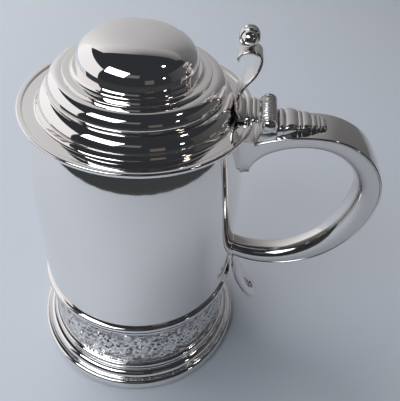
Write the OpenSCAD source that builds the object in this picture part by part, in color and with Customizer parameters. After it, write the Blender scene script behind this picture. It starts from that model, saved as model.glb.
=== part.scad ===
// Covered tankard: a spun drum on a stepped foot, a hollow strap handle,
// and a domed lid hinged on the handle.
// Origin on the table under the drum's axis, handle along +X, +Z up.

/* [Drum] */
// Outer radius of the drum at its belly
body_r = 60.5; // [50:0.5:75]
// How far the drum draws in from its belly to its lip
lip_draw = 7.5; // [0:0.5:15]
// Height of the lip above the table
rim_h = 180; // [150:1:220]
// Length of the taper below the lip
taper_h = 68; // [40:1:80]
// Thickness of the drum's wall
wall = 1.6; // [1:0.1:3]
// Thickness of the round floor inside the drum
floor_t = 2; // [1:0.1:4]
// How far the lip wire stands out from the drum
lip_wire_t = 1.4; // [0.8:0.1:3]
// Height of the lip wire
lip_wire_h = 3.6; // [2:0.1:8]

/* [Foot] */
// How far the foot stands out past the drum
foot_out = 9.5; // [8:0.5:20]
// Height of the foot's upper ledge
foot_h = 12.2; // [9:0.1:16]
// Thickness of the foot's spun metal
foot_t = 1.8; // [1.2:0.1:3]
// Height of the wire round the bottom of the foot
foot_wire_h = 7.2; // [5:0.1:8]
// Radial thickness of that wire
foot_wire_t = 3; // [2:0.1:5]
// Radial width of the quarter round above the wire
ovolo_w = 4; // [2:0.1:6]

/* [Chased band] */
// Height of the moulding under the band
reed_h = 4.8; // [3:0.1:8]
// Height of the chased band
band_h = 36; // [20:1:50]
// Thickness of the band
band_t = 1.4; // [0.8:0.1:3]
// Height of the moulding over the band
torus_h = 9; // [5:0.5:14]

/* [Lid] */
// How far the lid's flange stands out past the lip
lid_out = 7.2; // [5:0.1:9]
// Thickness of the lid's metal
lid_t = 1.4; // [1:0.1:2.5]
// Gap between the flange and the lip
lid_gap = 0.3; // [0.2:0.05:0.6]
// Radial width of the wire round the flange
lid_wire_w = 3; // [2:0.1:5]
// Height of that wire
lid_wire_h = 2.2; // [1.6:0.1:4]
// Distance from the flange's edge in to the lower swell
swell_low_in = 10.4; // [8:0.1:16]
// Height of the lower swell
swell_low_h = 9.2; // [6:0.1:14]
// Distance from the flange's edge in to the upper swell
swell_high_in = 16; // [14:0.1:22]
// Height of the upper swell
swell_high_h = 8.2; // [5:0.1:12]
// Distance from the flange's edge in to the dome's seat
seat_in = 23.8; // [22:0.1:28]
// Distance from the flange's edge in to the dome
dome_in = 30.4; // [29:0.1:36]
// Height of the dome above its seat
dome_h = 16; // [12:0.1:30]
// Squareness of the dome: 2 is an ellipse
dome_power = 2.7; // [2:0.05:3.5]
// Depth of the locating ring inside the lip
bezel_h = 5; // [3:0.1:8]
// Thickness of the locating ring
bezel_t = 1.4; // [1:0.1:3]
// Radial clearance of the locating ring in the lip
bezel_gap = 0.7; // [0.6:0.1:1.5]

/* [Hinge] */
// Distance from the lip to the pin, outwards
pin_out = 13.9; // [12:0.1:17]
// Height of the pin above the lip
pin_up = 3; // [2.6:0.1:5]
// Radius of the knuckles
knuckle_r = 4.4; // [3.6:0.1:4.8]
// Radius of the pin
pin_r = 1.6; // [1:0.1:2]
// Radial clearance of the pin in the knuckles
pin_fit = 0.05; // [0.02:0.01:0.1]
// Length of the five knuckles together
barrel_l = 21; // [18:0.5:30]
// Gap between one knuckle and the next
knuckle_gap = 0.2; // [0.1:0.05:0.4]
// Radius of the collar on each end of the pin
collar_r = 4.5; // [4:0.1:5]
// Radius of the domed button on each end of the pin
cap_r = 3.5; // [2:0.1:4]
// Width of the hinge plates on the lid and on the handle
leaf_w = 22; // [16:0.5:24]
// Clearance between the lid's hinge plate and the fixed knuckles
leaf_gap = 0.4; // [0.3:0.05:1]

/* [Thumbpiece] */
// Height of the scroll above the flange
thumb_h = 35; // [28:0.5:45]
// Thickness of the scroll
thumb_t = 1.9; // [1.2:0.1:3]
// Width of the scroll at its foot
thumb_w = 20; // [14:0.5:24]
// Width of the scroll at its top
thumb_top_w = 12; // [8:0.5:16]
// Radius of the rolled volute on top
volute_r = 4.8; // [3.5:0.1:6]
// Width of the volute
volute_w = 5.5; // [4:0.5:12]
// Radius of the eye at each end of the volute
eye_r = 3.9; // [2:0.1:4.5]

/* [Handle] */
// How far the handle reaches out past the drum
handle_out = 76; // [60:0.5:90]
// Drop of the handle's outermost point below the lip
reach_drop = 42; // [35:1:55]
// Drop of the handle's top below the lip
top_drop = 0.5; // [0:0.5:10]
// Distance from the lip out to the top of the bow
top_out = 44; // [40:1:55]
// Drop of the handle's lowest point below the lip
bottom_drop = 106.5; // [90:0.5:115]
// Width of the handle at the top
handle_w = 24; // [18:0.5:26]
// Width of the handle at its lower end
handle_low_w = 16; // [12:0.5:20]
// Depth of the handle at the top of the bow
depth_top = 9.6; // [8:0.1:12]
// Depth of the handle at its outermost point
depth_side = 13.6; // [10:0.1:16]
// Depth of the handle's lower arm
depth_low = 9; // [8:0.1:12]
// Height of the socket where the handle meets the drum
socket_h = 22.7; // [16:0.1:28]
// Thickness of the outer strap
strap_t = 2; // [1.4:0.1:3]
// How far the strap overhangs the shell on each side
strap_lip = 0.4; // [0.2:0.1:1]
// Thickness of the shell
shell_t = 1.5; // [1:0.1:2.5]
// Thickness of the sockets between the drum's belly and the ends of the handle
socket_t = 1.1; // [0.8:0.1:4]

/* [Drop and tail] */
// Length of the ribbed drop on the handle
drop_l = 25; // [18:0.5:30]
// Width of the drop at the hinge
drop_w = 20; // [14:0.5:20]
// Width of the drop at its tip
drop_tip_w = 8; // [5:0.5:12]
// Thickness of the drop at the hinge
drop_t = 5.2; // [3:0.1:6]
// Thickness of the drop at its tip
drop_tip_t = 1.4; // [1:0.1:2]
// Height of the tallest rib
rib_h = 1.7; // [0.8:0.1:2.5]
// Length of the tail below the lower joint
tail_l = 48; // [36:1:52]
// Outward sweep of the tail
tail_out = 21; // [14:0.5:24]
// Thickness of the tail
tail_t = 3.4; // [2.6:0.1:5]
// Width of the tail where it leaves the handle
tail_w = 15; // [12:0.5:18]
// Width of the tail at its round tip
tail_tip_w = 17; // [8:0.5:18]
// Radius of the ends of the vent slot in the tail
vent_r = 2.1; // [1.2:0.1:2.8]
// Length of the vent slot between its ends
vent_l = 3.2; // [1:0.1:6]

/* [Hidden] */
$fn = 96;

silver = "#c9c8c9";
shade = "#b5b6ba";
dark = "#8f9197";
slack = 0.01;          // smallest overlap used so that cuts go right through

// ---- heights and radii that follow from the sizes above
lip_r = body_r - lip_draw;
foot_r = body_r + foot_out;
lid_r = lip_r + lid_out;
swell_low_r = lid_r - swell_low_in;
swell_high_r = lid_r - swell_high_in;
seat_r = lid_r - seat_in;
dome_r = lid_r - dome_in;
reach = body_r + handle_out;
reach_z = rim_h - reach_drop;
top_r = lip_r + top_out;
bottom_z = rim_h - bottom_drop;
band_z = foot_h + reed_h;              // bottom of the chased band
torus_z = band_z + band_h;             // bottom of the moulding over it
belly_z = torus_z + torus_h;           // where the plain drum starts
band_in = 0.3;                         // the band lies this far inside the belly
core_r = body_r - band_t - band_in;    // outer radius of the drum behind the band
taper_r = (pow(taper_h, 2) + pow(body_r - lip_r, 2)) / (2 * (body_r - lip_r));
lip_in = lip_r - wall;                 // inner radius at the lip
lid_z = rim_h + lid_gap;               // underside of the flange
flange_z = lid_z + lid_t;              // top of the flange
crease_z = flange_z + swell_low_h;     // crease between the two swells
seat_z = crease_z + swell_high_h;      // top of the upper swell
wire_in = lid_r - lid_wire_w;          // inner radius of the lid's wire
pin_x = lip_r + pin_out;
pin_z = rim_h + pin_up;
top_z = rim_h - top_drop;
handle_x = body_r + socket_t;          // plane where the handle's ends stop

// ---- small helpers
// Points of an arc about c, radius r, from angle a to angle b, in n steps.
function arc(c, r, a, b, n = 10) =
  [for (i = [0:n]) c + r * [cos(a + (b - a) * i / n), sin(a + (b - a) * i / n)]];
function mix(a, b, t) = a + (b - a) * t;
function smooth(t) = t * t * (3 - 2 * t);
function reversed(list) = [for (i = [len(list) - 1:-1:0]) list[i]];

// A turned piece: its outline is given as [radius, height] points.
module turned(points) {
  rotate_extrude($fn = 180) polygon(points);
}

// A plate cut from an outline in the XZ plane, centred on Y.
module plate(points, width) {
  translate([0, width / 2, 0]) rotate([90, 0, 0]) linear_extrude(width) polygon(points);
}

// ---- drum
// Radius of the drum's outside at height z, above the mouldings.
function drum_r(z) =
  z < rim_h - taper_h ? body_r
  : body_r - taper_r + sqrt(pow(taper_r, 2) - pow(z - rim_h + taper_h, 2));

// Stations of the taper, and the drum's radius on the straight lines between them.
taper_steps = 16;
function station(i) = let (z = rim_h - taper_h * (1 - i / taper_steps)) [drum_r(z), z];
function edge_r(z) = let (i = floor((z - rim_h + taper_h) / taper_h * taper_steps),
  a = station(i), b = station(i + 1)) mix(a[0], b[0], (z - a[1]) / (b[1] - a[1]));

// Outline of the drum's outside from its foot to its lip, moved in by t.
function drum_side(t) = concat(
  [[core_r - t, foot_h - floor_t], [core_r - t, torus_z + 1], [body_r - t, belly_z - 1]],
  [for (i = [0:taper_steps]) station(i) - [t, 0]]);

module drum() {
  color(silver) turned(concat(drum_side(0), reversed(drum_side(wall))));
}

module drum_floor() {
  dish = 1;
  color(shade) turned([[0, foot_h - floor_t - dish], [core_r - wall, foot_h - floor_t],
    [core_r - wall, foot_h], [0, foot_h - dish]]);
}

module lip_wire() {
  z0 = rim_h - lip_wire_h;
  round_r = 0.8;
  x = lip_r + lip_wire_t - round_r;
  color(silver) turned(concat([[edge_r(z0), z0]],
    arc([x, z0 + 2 * round_r], round_r, -60, 0, 4), arc([x, rim_h - round_r], round_r, 0, 90, 5),
    [for (i = [taper_steps:-1:0]) if (station(i)[1] > z0 + slack) station(i)]));
}

// ---- foot
wire_inner = foot_r - foot_wire_t;     // inner radius of the foot's wire
step_h = 0.8;                          // height of the step between the wire and the quarter round
ovolo_z = foot_wire_h + step_h;        // bottom of the quarter round
ovolo_x = wire_inner - 0.8 - ovolo_w;  // radius at its top
foot_clear = 0.6;                      // the ring stands this far above the table

module foot_ring() {
  color(silver) turned(concat(
    [[wire_inner - foot_t - ovolo_w, foot_clear], [wire_inner, foot_clear], [wire_inner, ovolo_z]],
    [for (i = [0:8]) let (a = 90 * i / 8)
      [ovolo_x + ovolo_w * cos(a), ovolo_z + (foot_h - ovolo_z) * sin(a)]],
    [[core_r, foot_h], [core_r, foot_h - floor_t - foot_t]],
    [[ovolo_x, foot_h - floor_t - foot_t], [wire_inner - foot_t - ovolo_w, ovolo_z - foot_t - 1]]));
}

module foot_wire() {
  round_r = foot_wire_t - 0.4;
  lap = foot_t + ovolo_w;              // how far the wire reaches in under the ring
  color(silver) turned(concat([[wire_inner - lap, 0], [foot_r - 0.8, 0], [foot_r, 0.8]],
    arc([foot_r - round_r, foot_wire_h - round_r], round_r, 0, 90, 8),
    [[wire_inner, foot_wire_h], [wire_inner, foot_clear], [wire_inner - lap, foot_clear]]));
}

// ---- mouldings and chased band
module reed_moulding() {
  r = core_r + band_t;
  color(silver) turned(concat([[core_r, foot_h]],
    arc([r - 0.2, foot_h + reed_h / 2], reed_h / 2 - 0.3, -80, 80, 8),
    [[r, band_z - 0.3], [r, band_z], [core_r, band_z]]));
}

module chased_band() {
  color(dark) rotate_extrude($fn = 180) translate([core_r, band_z]) square([band_t, band_h]);
}

module torus_moulding() {
  step = torus_h / 9;
  r = core_r + band_t;
  color(silver) turned(concat([[core_r, torus_z], [r + 0.2, torus_z], [r + 0.2, torus_z + step]],
    [[r - 0.3, torus_z + 1.6 * step], [r - 0.3, torus_z + 2.6 * step], [r + 0.8, torus_z + 3.2 * step]],
    [[r + 0.8, torus_z + 4 * step]],
    arc([r + 0.2, belly_z - 2.6 * step], 2 * step, -70, 60, 8),
    [[body_r, belly_z - 0.4], [body_r, belly_z - 1], [core_r, torus_z + 1]]));
}

// ---- handle: the outer and inner curves of the bow are a parabola and ellipses
inner_reach = reach - depth_side;
rise = 12.4;                           // climb of the bow from the lip wire to its top
hinge_run = top_r - lip_r - 1;
low_r = top_r - 17;                    // centre of the lower ellipses
rings = 14;                            // steps along each of the three stretches

function top_curve(x) = top_z - rise * pow((top_r - x) / hinge_run, 2);

// Where the lower ellipse, turning up again, meets the plane of the socket.
function low_turn(centre, half) = asin((centre - handle_x) / half);

// Outer curve: u runs 0 to 3 over the hinge end, the shoulder and the lower arm.
function outer_pt(u) =
  u <= 1 ? let (x = mix(handle_x, top_r, u)) [x, top_curve(x)]
  : u <= 2 ? let (a = 90 * (2 - u)) [top_r + (reach - top_r) * cos(a), reach_z + (top_z - reach_z) * sin(a)]
  : let (a = (90 + low_turn(low_r, reach - low_r)) * (u - 2))
    [low_r + (reach - low_r) * cos(a), reach_z - (reach_z - bottom_z) * sin(a)];

// Inner curve, with the same u.
function inner_pt(u) =
  let (x1 = top_r - 5, z1 = top_z - depth_top, x2 = low_r - 4, z2 = bottom_z + depth_low)
  u <= 1 ? let (a = 90 * u, z0 = top_curve(handle_x) - socket_h)
    [x1 - (x1 - handle_x) * cos(a), z0 + (z1 - z0) * sin(a)]
  : u <= 2 ? let (a = 90 * (2 - u)) [x1 + (inner_reach - x1) * cos(a), reach_z + (z1 - reach_z) * sin(a)]
  : let (a = (90 + low_turn(x2, inner_reach - x2)) * (u - 2))
    [x2 + (inner_reach - x2) * cos(a), reach_z - (reach_z - z2) * sin(a)];

function bow_w(u) = u < 1.5 ? handle_w : mix(handle_w, handle_low_w, smooth((u - 1.5) / 1.5));

// One ring of a swept piece: section points are [y share of half width, depth in mm
// from the outer curve, share of the way to the inner curve, y in mm].
function ring(u, section) =
  let (o = outer_pt(u), i = inner_pt(u), d = norm(i - o), n = (i - o) / d, w = bow_w(u) / 2)
  [for (p = section) let (q = o + n * (p[1] + p[2] * d)) [q[0], p[0] * w + p[3], q[1]]];

// Closed mesh through a list of rings of equal length.
module sweep(list) {
  k = len(list[0]);
  last = len(list) - 1;
  sides = [for (s = [0:last - 1], j = [0:k - 1]) let (a = s * k + j, b = s * k + (j + 1) % k)
    each [[a, b, b + k], [a, b + k, a + k]]];
  polyhedron([for (r = list) each r],
    concat(sides, [[for (j = [k - 1:-1:0]) j]], [[for (j = [0:k - 1]) last * k + j]]));
}
stations = [for (s = [0:3 * rings]) s / rings];

// The strap: a flat bar with eased edges.
strap_section = [[-1, strap_t * 0.3, 0, 0], [-1, 0, 0, strap_t * 0.3], [1, 0, 0, -strap_t * 0.3],
  [1, strap_t * 0.3, 0, 0], [1, strap_t, 0, 0], [-1, strap_t, 0, 0]];

// The shell: a U between the strap and the inner curve, square at the hinge end and
// round in the lower arm: y = cos^e, depth = sin^e. The wall is t thick.
u_steps = 14;
function u_power(u) = mix(0.42, 0.74, smooth(u / 3));
function u_side(a, e) = sign(cos(a)) * pow(abs(cos(a)), e);
function u_points(t, e) = [for (i = [0:u_steps])
  let (a = 180 * i / u_steps, c = u_side(a, e), s = pow(sin(a), e))
  [c, (strap_t + t / 3) * (1 - s) - t * s, s, -(strap_lip + t) * c]];
function shell_section(u) = concat(u_points(0, u_power(u)), reversed(u_points(shell_t, u_power(u))));

module handle_strap() {
  color(silver) sweep([for (u = stations) ring(u, strap_section)]);
}

module handle_shell() {
  color(shade) sweep([for (u = stations) ring(u, shell_section(u))]);
}

// Sockets: short straight ends in the handle's own section, fitted to the drum.
module socket(u) {
  w = bow_w(u) / 2;
  o = outer_pt(u)[1];
  i = inner_pt(u)[1];
  e = u_power(u);
  pts = [for (k = [0:u_steps]) let (a = 180 * k / u_steps) [w * u_side(a, e), mix(o, i, pow(sin(a), e))]];
  difference() {
    translate([handle_x, 0, 0]) rotate([0, -90, 0]) linear_extrude(handle_x - lip_r + 12)
      polygon([for (p = pts) [p[1], p[0]]]);
    turned(concat([[0, 0]], drum_side(0), [[0, rim_h]]));
  }
}

module upper_socket() {
  color(silver) socket(0);
}

module lower_socket() {
  color(silver) socket(3);
}

// ---- tail: a tongue that leaves the lower joint and sweeps down and outwards
tail_top = outer_pt(3) + [0.3, 0];
tail_steps = 12;
vent_at = 0.8;                         // share of the tail's length at which the vent sits

// Height of the strap's underside at x, on its last straight stretch.
function strap_end(x) = let (a = outer_pt(3), b = outer_pt(3 - 1 / rings))
  mix(a[1], b[1], (x - a[0]) / (b[0] - a[0]));

// Line of the tail's back, from the lower joint (t = 0) to its tip (t = 1).
function tail_pt(t) = tail_top + [tail_out * pow(t, 2.2), -tail_l * t];
function tail_slope(t) = atan2(tail_l, 2.2 * tail_out * pow(t, 1.2));

module tail_body() {
  ts = [for (i = [1:tail_steps]) i / tail_steps];
  x = tail_top[0];
  plate(concat([[x, strap_end(x)]], [for (t = ts) tail_pt(t)],
    [for (t = reversed(ts)) tail_pt(t) + tail_t * [sin(tail_slope(t)), cos(tail_slope(t))]],
    [[x + tail_t, strap_end(x + tail_t)]]), 2 * tail_w);
}

// The tail's outline seen from the end of the handle: straight sides, round tip.
module tail_outline() {
  z_tip = tail_top[1] - tail_l + tail_tip_w / 2;
  z_top = tail_top[1] + tail_t;
  rotate([90, 0, 90]) linear_extrude(2 * reach) polygon(concat(
    [[-tail_w / 2, z_top], [tail_w / 2, z_top]], arc([0, z_tip], tail_tip_w / 2, 0, -180, 16)));
}

module vent() {
  at = tail_pt(vent_at);
  translate([at[0], 0, at[1]]) rotate([0, tail_slope(vent_at) - 90, 0]) rotate([0, 90, 0])
    linear_extrude(4 * tail_t, center = true) union() {
      square([vent_l, 2 * vent_r], center = true);
      for (side = [-1, 1]) translate([side * vent_l / 2, 0]) circle(vent_r, $fn = 48);
    }
}

module handle_tail() {
  color(silver) difference() {
    intersection() {
      tail_body();
      tail_outline();
    }
    vent();
  }
}

// ---- ribbed drop on the handle
seat_end = pin_x + knuckle_r + 0.8;    // where the hinge's seat ends and the drop starts
drop_end = seat_end + drop_l;

// Share of the drop's length that each rib takes, from the hinge to the tip.
rib_share = [0.13, 0.27, 0.09, 0.19, 0.12, 0.08, 0.12];
function drop_half(t) = mix(drop_w, drop_tip_w, pow(t, 1.6)) / 2;

// Heights along the strap's outer face, at the same stations as its rings.
function strap_u(x) = (x - handle_x) / (top_r - handle_x);
function strap_z(x) = let (k = floor(strap_u(x) * rings),
  a = outer_pt(k / rings), b = outer_pt((k + 1) / rings)) mix(a[1], b[1], (x - a[0]) / (b[0] - a[0]));
function strap_line(x0, x1) = concat([[x0, strap_z(x0)]],
  [for (i = [0:2 * rings]) let (p = outer_pt(i / rings)) if (p[0] > x0 && p[0] < x1) p],
  [[x1, strap_z(min(x1, top_r - slack))]]);

// Outline of a row of rounded ribs over a base line: base(t) is a point on the
// line, share the length of each rib as a share of the row, and h the tallest.
rib_steps = 6;
function rib_bump(i, k, h, share) = h * sqrt(share[i] / max(share)) * sqrt(1 - pow(2 * k / rib_steps - 1, 2));
function sum_to(list, i) = i <= 0 ? 0 : list[i - 1] + sum_to(list, i - 1);

function drop_base(t) = let (x = seat_end + t * drop_l)
  [x, strap_z(min(x, top_r - slack)) + mix(drop_t, drop_tip_t, t)];

module handle_drop() {
  n = len(rib_share);
  ribs = [for (i = [0:n - 1], k = [0:rib_steps]) let (t = sum_to(rib_share, i) + rib_share[i] * k / rib_steps)
    drop_base(t) + [0, rib_bump(i, k, mix(rib_h, rib_h / 2, t), rib_share)]];
  color(shade) intersection() {
    plate(concat(strap_line(seat_end, drop_end), reversed(ribs)), 2 * drop_w);
    linear_extrude(2 * rim_h) polygon(concat(
      [for (i = [0:10]) [seat_end + drop_l * i / 10, drop_half(i / 10)]],
      [for (i = [10:-1:0]) [seat_end + drop_l * i / 10, -drop_half(i / 10)]]));
  }
}

// ---- hinge
knuckle_l = barrel_l / 5;
fixed_knuckles = [-2, 0, 2];
lid_knuckles = [-1, 1];

module knuckle(i, r = knuckle_r) {
  translate([pin_x, i * knuckle_l, pin_z]) rotate([90, 0, 0])
    cylinder(h = knuckle_l - knuckle_gap, r = r, center = true);
}

module pin_bore(r) {
  translate([pin_x, 0, pin_z]) rotate([90, 0, 0]) cylinder(h = barrel_l + 20, r = r, center = true);
}

module hinge_seat() {
  x0 = handle_x + 1.2;
  base_top = pin_z - knuckle_r - 0.5;
  line = strap_line(x0, seat_end);
  color(shade) difference() {
    union() {
      plate(concat(line, [[seat_end, base_top], [pin_x - 3, base_top], [x0, strap_z(x0) + 1]]), leaf_w);
      for (i = fixed_knuckles) {
        knuckle(i);
        translate([0, i * knuckle_l, 0])
          plate([[pin_x - 3, base_top - 1], [pin_x + knuckle_r, base_top - 1], [pin_x + knuckle_r, pin_z],
            [pin_x - knuckle_r * 0.8, pin_z - knuckle_r * 0.6]], knuckle_l - knuckle_gap);
      }
    }
    pin_bore(pin_r);
  }
}

module hinge_pin() {
  color(dark) translate([pin_x, 0, pin_z]) rotate([90, 0, 0])
    cylinder(h = barrel_l, r = pin_r, center = true);
}

// Collar and button in one turned outline.
module pin_caps() {
  collar_h = 1.2;
  button_h = 2.4;
  color(silver) for (side = [-1, 1]) translate([pin_x, side * barrel_l / 2, pin_z]) rotate([-90 * side, 0, 0])
    rotate_extrude($fn = 64) polygon(concat([[0, 0], [collar_r, 0], [collar_r, collar_h]],
      [for (i = [0:10]) [cap_r * cos(9 * i), collar_h + button_h * sin(9 * i)]]));
}

// ---- lid
// Outline of the cover from the flange to the dome's seat, moved in by t.
function cover_side(t) = concat(
  [[wire_in, flange_z - t], [swell_low_r + 2.2, flange_z - t]],
  arc([swell_low_r + 2.2, flange_z + 1.6], 1.6 + t, -90, -160, 4),
  arc([swell_low_r - 7.6, flange_z + 1.8], 7.6 - t, 6, 74, 9),
  arc([swell_high_r - 6, seat_z - 6], 6 - t, -28, 90, 10),
  [[seat_r - 3, seat_z - t]]);

module lid_cover() {
  color(silver) turned(concat(cover_side(0), reversed(cover_side(lid_t))));
}

dome_step = 1.4;                       // height of the fillet between the seat and the dome
dome_z = seat_z + lid_t + dome_step;   // where the dome's own curve starts

// Half outline of the dome, moved in by t: a squared ellipse.
function dome_side(t) = [for (i = [0:24]) let (a = 90 * i / 24)
  [(dome_r - t) * pow(cos(a), 2 / dome_power), dome_z + (dome_h - t) * pow(sin(a), 2 / dome_power)]];

module lid_dome() {
  z = seat_z + lid_t;
  color(silver) turned(concat(
    [[seat_r, seat_z], [seat_r, z - 0.5], [seat_r - 0.5, z], [dome_r + 3.4, z]],
    arc([dome_r + 3.4, z + 2.2], 2.2, -90, -160, 5), dome_side(0), reversed(dome_side(lid_t)),
    [[dome_r - lid_t, seat_z]]));
}

module lid_wire() {
  color(silver) turned(concat([[wire_in, lid_z], [lid_r - 0.5, lid_z], [lid_r, lid_z + 0.5]],
    arc([lid_r - 0.9, lid_z + lid_wire_h - 0.9], 0.9, 0, 120, 6),
    arc([wire_in + 0.6, lid_z + lid_wire_h - 0.6], 0.6, 60, 180, 5)));
}

module lid_bezel() {
  outer = lip_in - bezel_gap;
  color(shade) turned([[outer - bezel_t, lid_z], [outer - bezel_t, lid_z - bezel_h],
    [outer - 0.4, lid_z - bezel_h], [outer, lid_z - bezel_h + 0.8], [outer, lid_z]]);
}

leaf_z = lid_z + lid_wire_h;           // underside of the hinge plate, on the wire
leaf_t = 1.8;
leaf_x0 = swell_low_r + 1.8;           // inner end of the plate
leaf_x1 = pin_x - knuckle_r - leaf_gap;

// Ribs on the hinge plate, from the thumbpiece to the knuckles.
leaf_share = [0.44, 0.34, 0.22];
ribs_x0 = leaf_x0 + thumb_t + 1.2;

module hinge_leaf() {
  top = leaf_z + leaf_t;
  ribs = [for (i = [0:2], k = [0:rib_steps])
    [mix(ribs_x0, leaf_x1, sum_to(leaf_share, i) + leaf_share[i] * k / rib_steps),
      top + rib_bump(i, k, rib_h, leaf_share)]];
  color(shade) difference() {
    union() {
      plate(concat([[leaf_x0, leaf_z], [leaf_x1, leaf_z]], reversed(ribs), [[leaf_x0, top]]), leaf_w);
      for (i = lid_knuckles) {
        knuckle(i);
        translate([0, i * knuckle_l, 0]) plate([[leaf_x1 - 1, leaf_z], [pin_x, pin_z - knuckle_r + 2],
          [pin_x, pin_z + knuckle_r - 2], [leaf_x1 - 1, top]], knuckle_l - knuckle_gap);
      }
    }
    pin_bore(pin_r + pin_fit);
  }
}

// ---- thumbpiece: three arcs and a flattened curl in the XZ plane, carried across and tapered
foot_cr = 7;                                      // radius of the foot's curve
foot_c = [leaf_x0 + 5, leaf_z + foot_cr + 0.7];   // centre of the foot's curve
sweep_r = 19;                                     // radius of the outward sweep
sweep_a = 42.5;                                   // angle of the outward sweep
back_r = 14.5;                                    // radius of the turn back to upright
curl_w = 5.4;                                     // half the width of the curl
curl_h = 4;                                       // half its height
curl_a = 195;                                     // angle it turns through

sweep_c = foot_c + [sweep_r - foot_cr, 0];
sweep_end = sweep_c + sweep_r * [-cos(sweep_a), sin(sweep_a)];
back_c = sweep_end - back_r * [cos(sweep_a), -sin(sweep_a)];
curl_c = [back_c[0] + back_r - curl_w, flange_z + thumb_h - curl_h];

function curl(a, b, n) = [for (i = [0:n]) let (t = a + (b - a) * i / n)
  curl_c + [curl_w * cos(t), curl_h * sin(t)]];
function thumb_line() = concat(
  arc(foot_c, foot_cr, 270, 180, 10), arc(sweep_c, sweep_r, 175, 180 - sweep_a, 8),
  arc(back_c, back_r, 5 - sweep_a, -4, 5), curl(0, curl_a, 18));

// Points moved sideways off a line by t.
function beside(line, t) = [for (i = [0:len(line) - 1])
  let (d = line[min(i + 1, len(line) - 1)] - line[max(i - 1, 0)]) line[i] + t * [d[1], -d[0]] / norm(d)];

module thumb_scroll() {
  line = thumb_line();
  z0 = leaf_z - 5;
  z1 = curl_c[1] - 4;
  color(silver) difference() {
    intersection() {
      plate(concat(beside(line, thumb_t / 2), reversed(beside(line, -thumb_t / 2))), thumb_w);
      rotate([90, 0, 90]) linear_extrude(200) polygon([[-thumb_w / 2, z0], [thumb_w / 2, z0],
        [thumb_w / 2, leaf_z + 6], [thumb_top_w / 2, z1], [thumb_top_w / 2, z1 + 30],
        [-thumb_top_w / 2, z1 + 30], [-thumb_top_w / 2, z1], [-thumb_w / 2, leaf_z + 6]]);
    }
    translate([0, -50, leaf_z - 10]) cube([200, 100, 10 + leaf_t]);
  }
}

volute_c = curl_c + [-1.7, curl_h + thumb_t / 2 + volute_r - 0.4];

module volute_roll(r, w) {
  translate([volute_c[0], 0, volute_c[1]]) rotate([90, 0, 0]) cylinder(h = w, r = r, center = true);
}

module thumb_volute() {
  color(silver) difference() {
    volute_roll(volute_r, volute_w);
    plate(concat(beside(curl(5, 175, 14), thumb_t / 2), [curl_c]), 2 * thumb_w);
  }
}

module volute_eyes() {
  color(silver) difference() {
    for (side = [-1, 1]) translate([volute_c[0], side * volute_w / 2, volute_c[1]]) sphere(eye_r, $fn = 64);
    volute_roll(volute_r + 1, volute_w);
  }
}

drum();
drum_floor();
lip_wire();
foot_ring();
foot_wire();
reed_moulding();
chased_band();
torus_moulding();
upper_socket();
lower_socket();
handle_strap();
handle_shell();
handle_tail();
handle_drop();
hinge_seat();
hinge_pin();
pin_caps();
lid_cover();
lid_dome();
lid_wire();
lid_bezel();
hinge_leaf();
thumb_scroll();
thumb_volute();
volute_eyes();
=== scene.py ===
"""Looks for a covered tankard of polished metal.

Every piece is a surface worked out with numpy in millimetres and stored in metres, in the
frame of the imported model: origin on the table under the drum's axis, handle along +X, +Z up.
"""

import logging
import math
from dataclasses import dataclass, field
from enum import Enum

import bpy
import numpy as np
from mathutils import Matrix, Vector


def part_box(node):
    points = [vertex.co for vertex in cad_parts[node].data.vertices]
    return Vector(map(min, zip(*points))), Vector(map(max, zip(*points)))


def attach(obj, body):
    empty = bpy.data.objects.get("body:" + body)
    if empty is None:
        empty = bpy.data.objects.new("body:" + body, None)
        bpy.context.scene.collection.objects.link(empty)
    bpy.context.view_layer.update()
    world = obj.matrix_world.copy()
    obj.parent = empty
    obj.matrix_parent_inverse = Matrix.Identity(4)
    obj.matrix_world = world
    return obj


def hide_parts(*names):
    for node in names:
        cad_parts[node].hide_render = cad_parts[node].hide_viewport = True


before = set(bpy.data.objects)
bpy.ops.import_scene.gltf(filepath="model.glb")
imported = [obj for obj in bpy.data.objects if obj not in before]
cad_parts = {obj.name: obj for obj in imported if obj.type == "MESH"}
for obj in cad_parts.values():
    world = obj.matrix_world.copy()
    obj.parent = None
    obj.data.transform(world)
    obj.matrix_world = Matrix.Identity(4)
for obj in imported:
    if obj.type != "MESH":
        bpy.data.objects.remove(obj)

MM = 0.001
TURNS = 320  # facets round a large turned piece
log = logging.getLogger("tankard")

Faces = list[np.ndarray]


# ---------------------------------------------------------------- curves


def arc(centre: tuple[float, float], radius: float, start: float, end: float, steps: int = 16) -> np.ndarray:
    """Points of a circle's arc: centre + radius * (cos a, sin a), a from start to end.

    Args:
        centre: centre of the arc.
        radius: radius of the arc.
        start: first angle in degrees.
        end: last angle in degrees.
        steps: number of straight steps.

    Returns:
        An array of steps + 1 points.
    """
    a = np.radians(np.linspace(start, end, steps + 1))
    return np.array(centre) + radius * np.column_stack([np.cos(a), np.sin(a)])


def chain(*parts: object) -> np.ndarray:
    """Points and arrays of points joined into one array, as given."""
    return np.vstack([np.atleast_2d(np.array(p, float)) for p in parts])


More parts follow.
